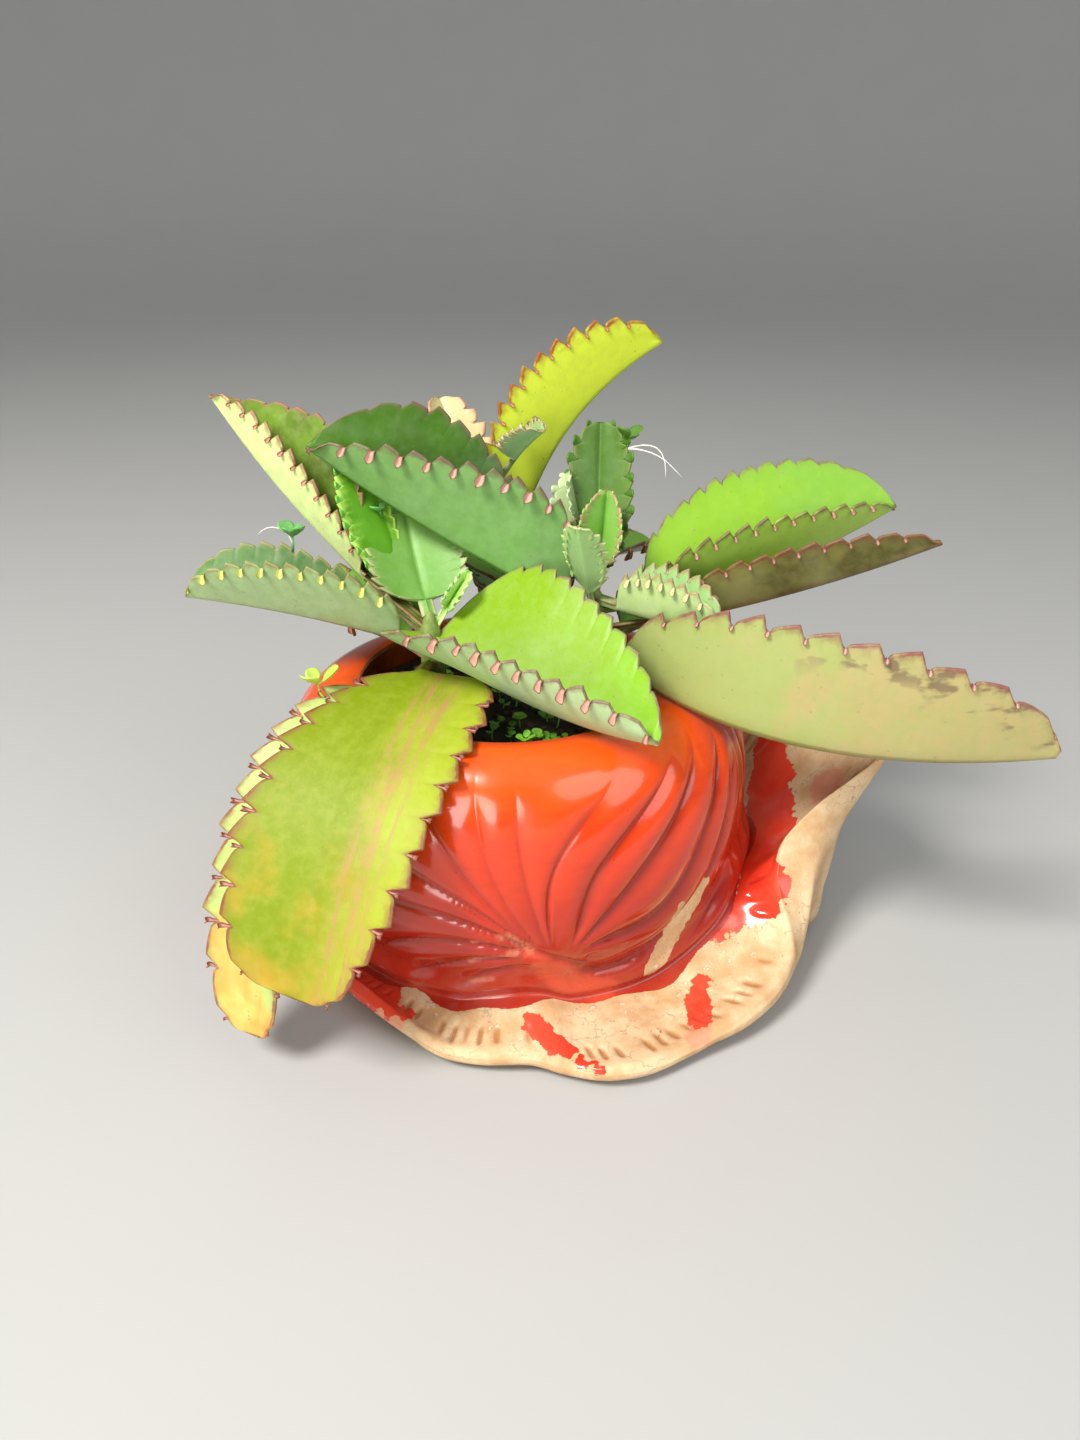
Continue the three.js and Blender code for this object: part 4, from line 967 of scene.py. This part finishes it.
def half_width(shape, side, t):
    """Width of one half along the blade, without its teeth."""
    neck = 1.2 if shape["young"] else 2.4
    s = (t - shape["stalk"]) / (1 - shape["stalk"])
    widest = side["base"] / (side["base"] + side["tip"])
    inside = np.clip(s, 1e-6, 1)
    form = (inside / widest) ** side["base"] * ((1 - inside) / (1 - widest)) ** side["tip"]
    return np.where(s <= 0, neck, np.maximum(side["width"] * form, neck * (1 - inside) ** 2 + 0.5))


def tooth_rows(shape):
    """Rows along the blade, closest where a tooth turns, its notches, and where teeth start and step."""
    start, end, teeth = shape["stalk"] + 0.02, 0.985, shape["teeth"]
    step = (end - start) / teeth
    base = shape["stalk"] + 0.02 * np.array([0, 0.02, 0.06, 0.14, 0.26, 0.42, 0.62, 0.82])
    steps = np.array([0, 0.03, 0.07, 0.14, 0.26, 0.4, 0.54, 0.66, 0.73, 0.77, 0.81, 0.85, 0.9, 0.95])
    rows = (start + step * (np.arange(teeth)[:, None] + steps)).ravel()
    t = np.concatenate([np.linspace(0, shape["stalk"], 6)[:-1], base, rows, np.linspace(end, 1, 5)])
    return t, start + step * (np.arange(teeth) + 1), start, step


SIGNS = {"left": -1, "right": 1}


def blade_surface(shape, t, side_name, out_share, tooth, lift):
    """Mid-surface points of one half, with its normals and outward directions; arrays run t by share."""
    side = shape[side_name]
    sign = SIGNS[side_name]
    point, along, face, right = midrib(shape, t)
    width = half_width(shape, side, t)
    flat = np.minimum(1, width / (0.1 * side["width"] + 3))
    opened = flat * (1 - shape["open"] * np.maximum(0, 1 - t / 0.4) ** 2)
    fold = np.radians(side["fold"] * opened)[:, None]
    bend = (np.radians(side["curl"] * opened) / width)[:, None]
    bend = np.where(abs(bend) < 1e-6, 1e-6, bend)
    out = out_share * width[:, None] + tooth
    lean = fold + bend * out
    across = (np.sin(lean) - np.sin(fold)) / bend
    rise = (np.cos(fold) - np.cos(lean)) / bend
    ear = side["ear"] * out_share ** 2 * (np.maximum(0, 1 - t / 0.3) ** 2)[:, None]
    tilt = lean * smooth(0, 0.12, out_share)
    normal = face[:, None] * np.cos(tilt)[..., None] - sign * right[:, None] * np.sin(tilt)[..., None]
    outward = sign * right[:, None] * np.cos(lean)[..., None] + face[:, None] * np.sin(lean)[..., None]
    spot = (point[:, None] - along[:, None] * ear[..., None] + sign * right[:, None] * across[..., None]
            + face[:, None] * rise[..., None] + normal * lift[..., None])
    return spot, normal, outward, out, along


# columns of a half, as shares of its width, and the angles of the rows that round its margin
SHARES = np.array([0, 0.05, 0.12, 0.22, 0.34, 0.46, 0.58, 0.68, 0.77, 0.85, 0.92, 0.97, 1.0])
ROUNDING = np.radians([55, 18, -18, -55])
# a tooth rises to its crest and falls to the notch within these shares of a step; sizes vary as factors
CREST, FALL_END, TOOTH_SIZES = 0.77, 0.91, (0.82, 1.22)
QUIET_TEETH, QUIET_BUDS, YOUNG_BUDS = 0.6, 0.4, 0.55
RIB, YOUNG_RIB = 3.0, 1.8


def tooth_peaks(shape, look, side_name, t, start, step, rng):
    """How far the teeth of one margin stand out at each row, and how near each row is to a notch."""
    phase = (t - start) / step
    number = np.clip(np.floor(phase), 0, shape["teeth"] - 1).astype(int)
    part = np.clip(phase - number, 0, 1)
    inside = (phase > 0) & (phase < shape["teeth"])
    size = np.array([rng.uniform(*TOOTH_SIZES) for _ in range(shape["teeth"])])[number]
    rise = np.clip(part / CREST, 0, 1) ** 0.75
    fall = np.clip((FALL_END - part) / 0.14, 0, 1) ** 0.8
    from_notch = np.minimum(part, 1 - part)
    peak = 1.4 * np.where(part < CREST, rise, fall) - 0.5 * np.exp(-(from_notch / 0.05) ** 2)
    deep = shape["depth"] * (QUIET_TEETH if look.get("quiet") == side_name else look.get("tooth_size", 1.0))
    peak = np.where(inside, peak * size, 0) * deep * np.minimum(1, 4 * (1 - t) + 0.3)
    return peak, np.exp(-(from_notch / 0.16) ** 2) * inside


def build_leaf(name, shape, look, settings):
    """A blade of two halves with teeth, a grooved midrib and rounded margins, its buds and its plantlets."""
    rng = random.Random(name)
    t, notches, start, step = tooth_rows(shape)
    margin = settings.margin
    length = np.linalg.norm(np.array(shape["to"]) - midrib(shape, [0.0])[0][0])
    halves = {}
    for side_name in SIGNS:
        width = shape[side_name]["width"]
        peak, near_notch = tooth_peaks(shape, look, side_name, t, start, step, rng)
        tooth = peak[:, None] * smooth(0.7, 1, SHARES)
        grid = together((t * length)[:, None], SHARES * width, 3.0 if side_name == "left" else 9.0)
        lift = (0.4 * noise(grid, 21, len(name)) * smooth(0.55, 1, SHARES) ** 0.5 * min(1, width / 14)
                + 0.05 * tooth - 0.03 * near_notch[:, None] * smooth(0.7, 0.97, SHARES))
        lift = lift * smooth(0, 0.06, t - shape["stalk"])[:, None]
        tooth_end = tooth - SHARES * margin / 2
        spots = blade_surface(shape, t, side_name, SHARES + 0 * tooth, tooth_end, lift)
        reach = half_width(shape, shape[side_name], t) + peak
        halves[side_name] = spots + (reach, np.clip(peak / shape["depth"], 0, 1.3))
    rib = (YOUNG_RIB if shape["young"] else RIB) * (1 - 0.6 * t)
    thick = margin + (rib[:, None] - margin) * (1 - SHARES) ** 1.25
    thick = thick * (0.9 + 0.1 * smooth(0, 0.2, 1 - t)[:, None])

    def sheet(side_name, over):
        """The upper or the under face of one half, with its values."""
        spot, normal, _, out, _, reach, crest = halves[side_name]
        groove = 0.5 * np.exp(-(out / 1.1) ** 2) * smooth(0, 0.2, t - 0.1)[:, None]
        offset = thick / 2 - groove if over else -(thick / 2 + 0.6 * groove)
        inset = np.maximum(reach[:, None] - out - margin / 2, 0)
        share = t[:, None] + 0 * out
        return (spot + normal * offset[..., None],
                together((t * length)[:, None], SIGNS[side_name] * out, inset),
                together(0.0 if over else 1.0, 0, share), together(crest[:, None] + 0 * out, 0, 0))

    def rounding(side_name, leans):
        """The rows that round one margin, with their values."""
        spot, normal, outward, out, _, _, crest = halves[side_name]
        rows = []
        for lean in leans:
            shift = math.cos(lean) * outward[:, -1] + math.sin(lean) * normal[:, -1]
            rows.append((spot[:, -1] + shift * (thick[:, -1] / 2)[:, None],
                         together(t * length, SIGNS[side_name] * out[:, -1], 0),
                         together(0.5 - 0.25 * math.sin(lean), 0, t), together(crest, 0, 0)))
        return [np.stack(column, 1) for column in zip(*rows)]

    groups = [[rows[:, ::-1] for rows in sheet("left", True)], [rows[:, 1:] for rows in sheet("right", True)],
              rounding("right", ROUNDING), [rows[:, ::-1] for rows in sheet("right", False)],
              [rows[:, 1:] for rows in sheet("left", False)], rounding("left", ROUNDING[::-1])]
    rings, blade, parts, crests = (np.concatenate(columns, axis=1) for columns in zip(*groups))
    shells = Shells("blade", "part", "edge")
    faces = [tuple(reversed(face)) for face in loop_faces(len(t), rings.shape[1])]
    shells.add(rings, faces, blade=blade, part=parts, edge=crests)
    for side_name in SIGNS:
        add_buds(shells, shape, look, side_name, notches, rng, settings)
    for plantlet in look.get("plantlets", []):
        add_plantlet(shells, shape, rng, *plantlet)
    return shells


def margin_spot(shape, side_name, t):
    """A point of the margin with its normal, outward direction and direction along."""
    one = np.ones((1, 1))
    spot, normal, outward, _, along = blade_surface(shape, np.array([t]), side_name, one, 0 * one, 0 * one)
    return spot[0, 0], normal[0, 0], outward[0, 0], along[0]


# buds by style: length, half width, range of curl, cup, shares between which they bend, and which way
BUD_STYLES = {
    "cup": (5.0, 1.25, (2.5, 2.75), 1.1, (0.16, 0.42), 1),
    "hook": (4.8, 0.75, (2.6, 3.4), 0.5, (0.5, 1), -1),
    "leafy": (4.6, 1.7, (0.2, 0.9), 0.3, (0, 1), -1),
}
CUP_HOOKS = (0.2, 0.6)


def add_buds(shells, shape, look, side_name, notches, rng, settings):
    """A bud in each notch of one margin: a curled cup, a small hook, or a leafy plantlet."""
    style = look.get("buds", "cup")
    length, wide, curls, cup, bend, facing = BUD_STYLES[style]
    scale = settings.bud_size * look.get("bud_size", 1.0) * (YOUNG_BUDS if shape["young"] else 1)
    if look.get("quiet") == side_name:
        scale *= QUIET_BUDS
    for t in notches:
        spot, normal, outward, along = margin_spot(shape, side_name, t)
        size = scale * rng.uniform(0.85, 1.15) * min(1, 8 * (1 - t) + 0.5)
        direction = unit(outward + along * rng.uniform(-0.1, 0.25))
        curl = rng.uniform(*curls)
        hook = rng.uniform(*CUP_HOOKS) if style == "cup" else 0
        bud = spoon(spot - outward * 1.3, direction, facing * normal, length * size, wide * size, curl, cup,
                    bend, hook, drop=style != "leafy")
        shells.add(*bud[:2], blade=bud[2], part=(0, PLANTLET if style == "leafy" else BUD, t))


ROOT_STEPS = 8


def add_plantlet(shells, shape, rng, side, t, size, leaves, roots=0, root_drop=0):
    """A rooting plantlet on the margin: round leaves in a cross over a short neck, with hanging roots."""
    spot, _, outward, along = margin_spot(shape, side, t)
    up = np.array([0, 0, 1.0])
    head = spot + outward * 1.5 + up * size * 0.45
    neck = tube([spot - outward * 0.5, spot + outward * 1.2 + up * size * 0.15, head], 0.55, 6)
    shells.add(*neck, blade=(0, 0, 5), part=(0, PLANTLET, t))
    first = unit(np.cross(up, along + 0.01))
    second = np.cross(up, first)
    for k in range(leaves):
        turn = math.pi / 4 + 2 * math.pi * k / leaves
        out = unit(math.cos(turn) * first + math.sin(turn) * second + up * rng.uniform(0.35, 0.8))
        grown = size * (1 if k % 2 == 0 else 0.7)
        points, faces, inset = spoon(head, out, up, grown, 0.42 * grown, -0.35, 0.3)
        shells.add(points, faces, blade=inset, part=(0, PLANTLET, t))
    for _ in range(roots):
        heading = unit(outward + along * rng.uniform(-0.6, 0.6))
        path = [spot + outward]
        down = 0.0
        for _ in range(ROOT_STEPS):
            down = min(1.0, down + rng.uniform(0.08, 0.3))
            wander = [rng.uniform(-0.35, 0.35), rng.uniform(-0.35, 0.35), -0.28 * down]
            heading = unit(heading + np.array(wander))
            path.append(path[-1] + heading * root_drop / ROOT_STEPS)
        shells.add(*tube(path, 0.28, 5), blade=(0, 0, 5), part=(0, ROOT, t))


def look(upper, upper_far, under, rim, bud=SKIN_COLOURS["Bud"], bud_rim=SKIN_COLOURS["Bud rim"], **more):
    """The colours of one leaf, other inputs of its skin by name, and what sets its teeth and buds apart.

    Teeth and buds are smaller on its quiet half, tooth_size and bud_size are factors, buds is their style.
    Each of its plantlets has a side, a share along it, a size, leaves, roots and how far these drop in mm.
    """
    return {"upper": upper, "upper_far": upper_far, "under": under, "under_far": under, "rim": rim,
            "bud": bud, "bud_rim": bud_rim, **more}


LOOKS = {
    "leaf_drooping": look("748600", "a88a24", "c8c868", "7c4030", "b07c70", "80443c", far_from=0.7,
                          sunny="a4b02c", sunny_amount=0.6, streak="a87c50", streak_amount=0.8,
                          streak_at_mm=-10.0, streak_width_mm=8.0, blotch="a08a3a", blotch_amount=0.25,
                          rim_mm=0.7, bloom=0.0, dull=0.12, buds="hook"),
    "leaf_drooping_low": look("a8c06c", "d09440", "c4cc80", "84503c", "b07c68", "80443c", far_from=0.72,
                              rim_mm=0.7, bloom=0.0, plantlet="b4c848", buds="hook",
                              plantlets=[("right", 0.3, 8.0, 3)]),
    "leaf_front": look("7ca00c", "7cac1c", "a8c494", "7a6450", "bc9080", "7e4c3e", quiet="left", rim_mm=0.4,
                       bloom=0.04),
    "leaf_across": look("345c00", "406c08", "74a058", "6e5244", "bc9080", "7e4c3e", quiet="right",
                        streak="5c8a1c", streak_amount=0.7, streak_at_mm=0.0, streak_width_mm=1.2,
                        bloom=0.15),
    "leaf_upper_left": look("4c6400", "6c9018", "d4e498", "8e5c4a", "c08a78", "844e40", quiet="right",
                            bloom=0.05, bud_size=0.5),
    "leaf_left": look("3c6420", "4c7834", "a0bc84", "86804c", "c8cc70", "90983c", quiet="right", bloom=0.25,
                      bud_size=0.8, plantlets=[("right", 0.62, 6.5, 4, 2, 15)]),
    "leaf_left_back": look("5c9c1c", "66a828", "7ab048", "a8c860", "8cc868", "5a9a38", plantlet="50a040",
                           buds="leafy", bud_size=1.2),
    "leaf_left_slip": look("4c8814", "5c981c", "6cac2c", "b4dc64", quiet="right", rim_mm=0.8, bloom=0.0,
                           plantlet="84cc54", buds="leafy", bud_size=0.8),
    "leaf_left_round": look("66963c", "6e9c44", "9fbe80", "b0b080", "a8cc80", "6f9c50", bloom=0.12,
                            bud_size=0.6, plantlets=[("left", 0.96, 4.5, 2)]),
    "leaf_behind": look("cec688", "d4c494", "d4c094", "b47c68", "d8b088", "b8706a", far_from=0.45,
                        bloom=0.1, bud_size=0.5),
    "leaf_tall": look("dcf82c", "e0ec3c", "c4d43c", "8c4c24", "b88058", "94583c", rim_mm=1.0, bloom=0.0,
                      bud_size=0.45),
    "leaf_upper_right": look("7ca81c", "74a430", "a4c854", "6e5c40", "c09a80", "7c5440", quiet="left",
                             bloom=0.05, bud_size=0.6),
    # leaf_right: painted shadow, its under side darkening from the light stalk end towards the tip
    "leaf_right": look("7c9430", "94984a", "8c8850", "70402c", "b88a78", "7c4a40", far_from=0.35,
                       under_far="585020", streak="9a5c48", streak_amount=0.3, streak_width_mm=3.0,
                       rim_mm=0.8, tooth_size=0.65, bud_size=0.45),
    "leaf_lower_right": look("8a9a58", "b09c6c", "9ca860", "7e4c44", "b48c80", "80544c", far_from=0.3,
                             under_far="aea06a", blotch="7a6a4c", blotch_amount=0.95, rim_mm=0.7, bloom=0.1,
                             bud_size=0.55),
    "young_leaf_left": look("94c84c", "a0d060", "b0d078", "c8dc98", buds="leafy"),
    "young_leaf_hooked": look("74a468", "84ac6c", "94bc7c", "b09070", "b4c88c", "907860", buds="hook",
                              bud_size=1.5),
    "young_leaf_shaded": look("587c28", "446a1c", "648840", "647838", plantlet="447020", buds="leafy",
                              bud_size=1.8, plantlets=[("right", 0.86, 6.0, 4, 2, 20)]),
    "young_leaf_edge": look("a8bc84", "b4c894", "b0c48c", "b8cc98", plantlet="b8c898", buds="leafy",
                            bud_size=1.6),
    "young_leaf_middle": look("7cb044", "74a444", "98bc70", "a88468", plantlet="a4c468", buds="leafy",
                              bud_size=1.1),
    "young_leaf_pale": look("84ac58", "90b864", "a0c480", "b0b880", "b8cc84", "90a860"),
    "young_leaf_right": look("90b870", "90b870", "b8d088", "98845c", "c0c884", "a08c68", bloom=0.3,
                             bud_size=0.7),
}


# Materials of the plant and the soil

def leaf_material(name, look):
    """Fleshy skin in the colours of one leaf."""
    material, n, principled = shader(name + "_skin", subsurface=0.12)
    principled.inputs["Specular IOR Level"].default_value = 0.3
    skin = n.new("ShaderNodeGroup", node_tree=leaf_skin_group())
    for key, value in look.items():
        label = key.replace("_", " ").capitalize()
        if label in skin.inputs:
            n.plug(skin.inputs[label], value)
    n.surface(principled, *(skin.outputs[label] for label in ("Colour", "Roughness", "Height")), 0.6)
    return material


def soil_material():
    """Dark damp soil with a green tinge in places."""
    material, n, principled = shader("damp_potting_soil")
    where = n.place()
    lumps = n.noise(where, 0.5, 6.0, 0.7)
    colour = n.mix(n.ramp(lumps, 0.35, 0.7), "140d08", "3a281a")
    colour = n.mix(n.ramp(n.noise(where, 0.12, 3.0), 0.55, 0.75, 0.0, 0.5), colour, "4a4422")
    n.surface(principled, colour, n.ramp(lumps, 0.3, 0.7, 0.7, 0.95), lumps, 1.2)
    return material


def crumb_material():
    """Lighter and darker crumbs."""
    material, n, principled = shader("soil_crumbs_mixed")
    where = n.place()
    pick = n.noise(where, 0.16, 1.0)
    colour = n.mix(n.ramp(pick, 0.4, 0.6), "20150d", "5c452c")
    colour = n.mix(n.ramp(n.noise(where, 1.5, 4.0), 0.4, 0.8, 0.0, 0.5), colour, "14100a")
    n.surface(principled, colour, n.ramp(pick, 0.3, 0.7, 0.75, 0.95), n.noise(where, 1.2, 4.0, 0.7), 0.5)
    return material


def sprout_material():
    """Fresh green of the seedlings."""
    material, n, principled = shader("seedling_green", subsurface=0.15)
    where = n.place()
    colour = n.mix(n.ramp(n.noise(where, 0.15, 2.0), 0.35, 0.65), "3f7a12", "7ab82a")
    colour = n.mix(n.ramp(n.noise(where, 1.5, 3.0), 0.5, 0.8, 0.0, 0.4), colour, "a8cc5c")
    roughness = n.ramp(n.noise(where, 0.8, 2.0), 0.3, 0.7, 0.35, 0.55)
    n.surface(principled, colour, roughness, n.noise(where, 2.0, 3.0), 0.2)
    return material


def stem_material():
    """Green stems with corky brown patches."""
    material, n, principled = shader("succulent_stem", subsurface=0.08)
    lengthwise = n.noise(n.place((900, 900, 120)), 1.0, 4.0, 0.6)
    bark = n.noise(n.place(), 0.6, 5.0, 0.65)
    colour = n.mix(n.ramp(lengthwise, 0.35, 0.65), "6f8a3c", "8a9a52")
    colour = n.mix(n.ramp(bark, 0.5, 0.72, 0.0, 0.7), colour, "8a6a48")
    height = n.plus(n.times(lengthwise, 0.6), bark)
    n.surface(principled, colour, n.ramp(bark, 0.3, 0.7, 0.45, 0.7), height, 0.5)
    return material


# Settings

class PotSettings(bpy.types.PropertyGroup):
    rib_depth: FloatProperty(
        name="Rib depth", description="Depth of the grooves between ribs, in millimetres", default=2.3, min=0,
        max=4)
    mark_depth: FloatProperty(
        name="Tool mark depth", description="Depth of the marks inside the lip's edge, in millimetres",
        default=1.1, min=0, max=2)
    glaze: FloatVectorProperty(
        name="Glaze", description="Colour of the glossy glaze", subtype="COLOR", default=srgb("d43c0e")[:3],
        min=0, max=1)
    clay: FloatVectorProperty(
        name="Clay", description="Colour of the bare fired clay", subtype="COLOR", default=srgb("c39a6c")[:3],
        min=0, max=1)


class PlantSettings(bpy.types.PropertyGroup):
    margin: FloatProperty(
        name="Margin", description="Thickness of the blades at their margin, in millimetres", default=1.0,
        min=0.4, max=1.6)
    bud_size: FloatProperty(
        name="Bud size", description="Size of the curled buds, as a factor", default=1.0, min=0.3, max=2,
        subtype="FACTOR")
    seedlings: IntProperty(
        name="Seedlings", description="Number of seedlings on the soil", default=70, min=0, max=200)
    crumbs: IntProperty(
        name="Crumbs", description="Number of loose crumbs on the soil", default=260, min=0, max=600)


class StageSettings(bpy.types.PropertyGroup):
    floor: FloatVectorProperty(
        name="Floor", description="Colour of the floor", subtype="COLOR", default=(0.44, 0.44, 0.43), min=0,
        max=1)
    key: FloatProperty(
        name="Key light", description="Power of the large light at the upper left", default=23, min=0,
        max=200, subtype="POWER", unit="POWER")
    sky: FloatProperty(
        name="Sky", description="Strength of the even light from all round", default=0.5, min=0, max=3)


# Operators

# the floor's profile in millimetres, then the camera in metres and degrees, where the photo was taken from
FLOOR_PROFILE = [
    (0.01, 0), (600, 0), (1500, 0), (2000, 25), (2400, 160), (2650, 450), (2750, 900), (2800, 2600),
]
FLOOR_STEPS = [1, 1, 2, 3, 3, 3, 3]
CAMERA_PLACE, CAMERA_PITCH, NEAR_CLIP = (0.010, -0.3067, 0.2315), 27, 0.01
LENS_MM, SENSOR_MM = 27, 36
# each light's place, width, share of the key light's power, and colour
LIGHTS = {
    "key_light": ((-0.55, -0.62, 1.05), 0.42, 1, (1.0, 0.97, 0.92)),
    "fill_light": ((0.9, -0.9, 0.9), 1.1, 0.35, (0.94, 0.97, 1.0)),
    "front_light": ((-0.4, -1.25, 0.32), 0.7, 0.38, (1.0, 0.97, 0.93)),
}
LIGHTS_AIM = (0.0, 0.0, 0.09)
SKY_COLOUR = (0.96, 0.98, 1.0, 1)


class PLANT_OT_stage(bpy.types.Operator):
    """Build the floor, the lights and the camera"""
    bl_idname = "plant.stage"
    bl_label = "Stage"

    def execute(self, context):
        settings = context.scene.plant_stage
        turns = np.radians(np.arange(0, 360, 5))
        rows = through([np.array(p, float) for p in FLOOR_PROFILE], FLOOR_STEPS)
        rings = [together(r * np.cos(turns), r * np.sin(turns), max(z, 0)) for r, z in rows]
        shells = Shells()
        shells.add(np.array(rings), loop_faces(len(rings), len(turns), caps=False))
        material, n, principled = shader("pale_floor")
        shades = [[share * v for v in settings.floor] + [1] for share in (1, 0.96)]
        n.plug(principled.inputs["Base Color"], n.mix(n.noise(n.place(), 0.01, 3.0), *shades))
        principled.inputs["Roughness"].default_value = 0.7
        shells.piece("floor", material)
        for name, (place, width, share, colour) in LIGHTS.items():
            data = bpy.data.lights.new(name, "AREA")
            data.energy, data.color, data.shape, data.size = settings.key * share, colour, "DISK", width
            lamp = bpy.data.objects.new(name, data)
            lamp.location = place
            lamp.rotation_euler = (Vector(LIGHTS_AIM) - lamp.location).to_track_quat("-Z", "Y").to_euler()
            context.scene.collection.objects.link(lamp)
        world = bpy.data.worlds.new("soft_sky")
        world.use_nodes = True
        world.node_tree.nodes["Background"].inputs["Color"].default_value = SKY_COLOUR
        world.node_tree.nodes["Background"].inputs["Strength"].default_value = settings.sky
        context.scene.world = world
        data = bpy.data.cameras.new("photo_camera")
        data.lens, data.sensor_width, data.clip_start = LENS_MM, SENSOR_MM, NEAR_CLIP
        camera = bpy.data.objects.new("photo_camera", data)
        camera.location = CAMERA_PLACE
        camera.rotation_euler = (math.radians(90 - CAMERA_PITCH), 0, 0)
        context.scene.collection.objects.link(camera)
        context.scene.camera = camera
        context.scene.view_settings.view_transform = "Standard"
        return {"FINISHED"}


class PLANT_OT_pot(bpy.types.Operator):
    """Build the shell pot with its ribs, lip and worn paint"""
    bl_idname = "plant.pot"
    bl_label = "Shell pot"

    def execute(self, context):
        settings = context.scene.plant_pot
        pot = build_pot(settings.rib_depth, settings.mark_depth)
        finished(pot.piece("shell_pot_glazed", pot_material(settings)), "shell_pot")
        return {"FINISHED"}


class PLANT_OT_soil(bpy.types.Operator):
    """Build the bed of soil and the crumbs on it"""
    bl_idname = "plant.soil"
    bl_label = "Soil"

    def execute(self, context):
        finished(build_soil().piece("soil_bed", soil_material()), "soil")
        crumbs = build_crumbs(context.scene.plant_growth.crumbs)
        finished(crumbs.piece("soil_crumbs", crumb_material()), None)
        return {"FINISHED"}


class PLANT_OT_seedlings(bpy.types.Operator):
    """Build the seedlings on the soil"""
    bl_idname = "plant.seedlings"
    bl_label = "Seedlings"

    def execute(self, context):
        sprouts = build_seedlings(context.scene.plant_growth.seedlings)
        finished(sprouts.piece("seedlings", sprout_material()), None)
        return {"FINISHED"}


class PLANT_OT_stems(bpy.types.Operator):
    """Build the three stems"""
    bl_idname = "plant.stems"
    bl_label = "Stems"

    def execute(self, context):
        material = stem_material()
        for name, (axis, radii) in STEMS.items():
            finished(build_stem(axis, radii).piece(f"stem_{name}_grown", material), f"stem_{name}")
        return {"FINISHED"}


class PLANT_OT_leaves(bpy.types.Operator):
    """Build the leaves with their buds and plantlets"""
    bl_idname = "plant.leaves"
    bl_label = "Leaves"

    def execute(self, context):
        settings = context.scene.plant_growth
        for name, shape in {**LEAVES, **SLIPS}.items():
            look = LOOKS.get(name, {})
            grown = build_leaf(name, shape, look, settings).piece(name + "_grown", leaf_material(name, look))
            finished(grown, name if name in LEAVES else None)
        return {"FINISHED"}


class PLANT_PT_panel(bpy.types.Panel):
    """Lists the builders and their settings"""
    bl_label = "Potted mother of thousands"
    bl_idname = "PLANT_PT_panel"
    bl_space_type = "VIEW_3D"
    bl_region_type = "UI"
    bl_category = "Plant"

    def draw(self, context):
        scene = context.scene
        for group, names in ((scene.plant_stage, ("floor", "key", "sky")),
                             (scene.plant_pot, ("rib_depth", "mark_depth", "glaze", "clay")),
                             (scene.plant_growth, ("margin", "bud_size", "seedlings", "crumbs"))):
            box = self.layout.box()
            for name in names:
                box.prop(group, name)
        for operator in OPERATORS:
            self.layout.operator(operator.bl_idname)


OPERATORS = (PLANT_OT_stage, PLANT_OT_pot, PLANT_OT_soil, PLANT_OT_seedlings, PLANT_OT_stems, PLANT_OT_leaves)
CLASSES = (PotSettings, PlantSettings, StageSettings) + OPERATORS + (PLANT_PT_panel,)


def register():
    for cls in CLASSES:
        bpy.utils.register_class(cls)
    bpy.types.Scene.plant_pot = PointerProperty(type=PotSettings)
    bpy.types.Scene.plant_growth = PointerProperty(type=PlantSettings)
    bpy.types.Scene.plant_stage = PointerProperty(type=StageSettings)


def unregister():
    for name in ("plant_pot", "plant_growth", "plant_stage"):
        delattr(bpy.types.Scene, name)
    for cls in reversed(CLASSES):
        bpy.utils.unregister_class(cls)


def main():
    register()
    for operator in OPERATORS:
        group, name = operator.bl_idname.split(".")
        getattr(getattr(bpy.ops, group), name)()


if __name__ == "__main__":
    main()
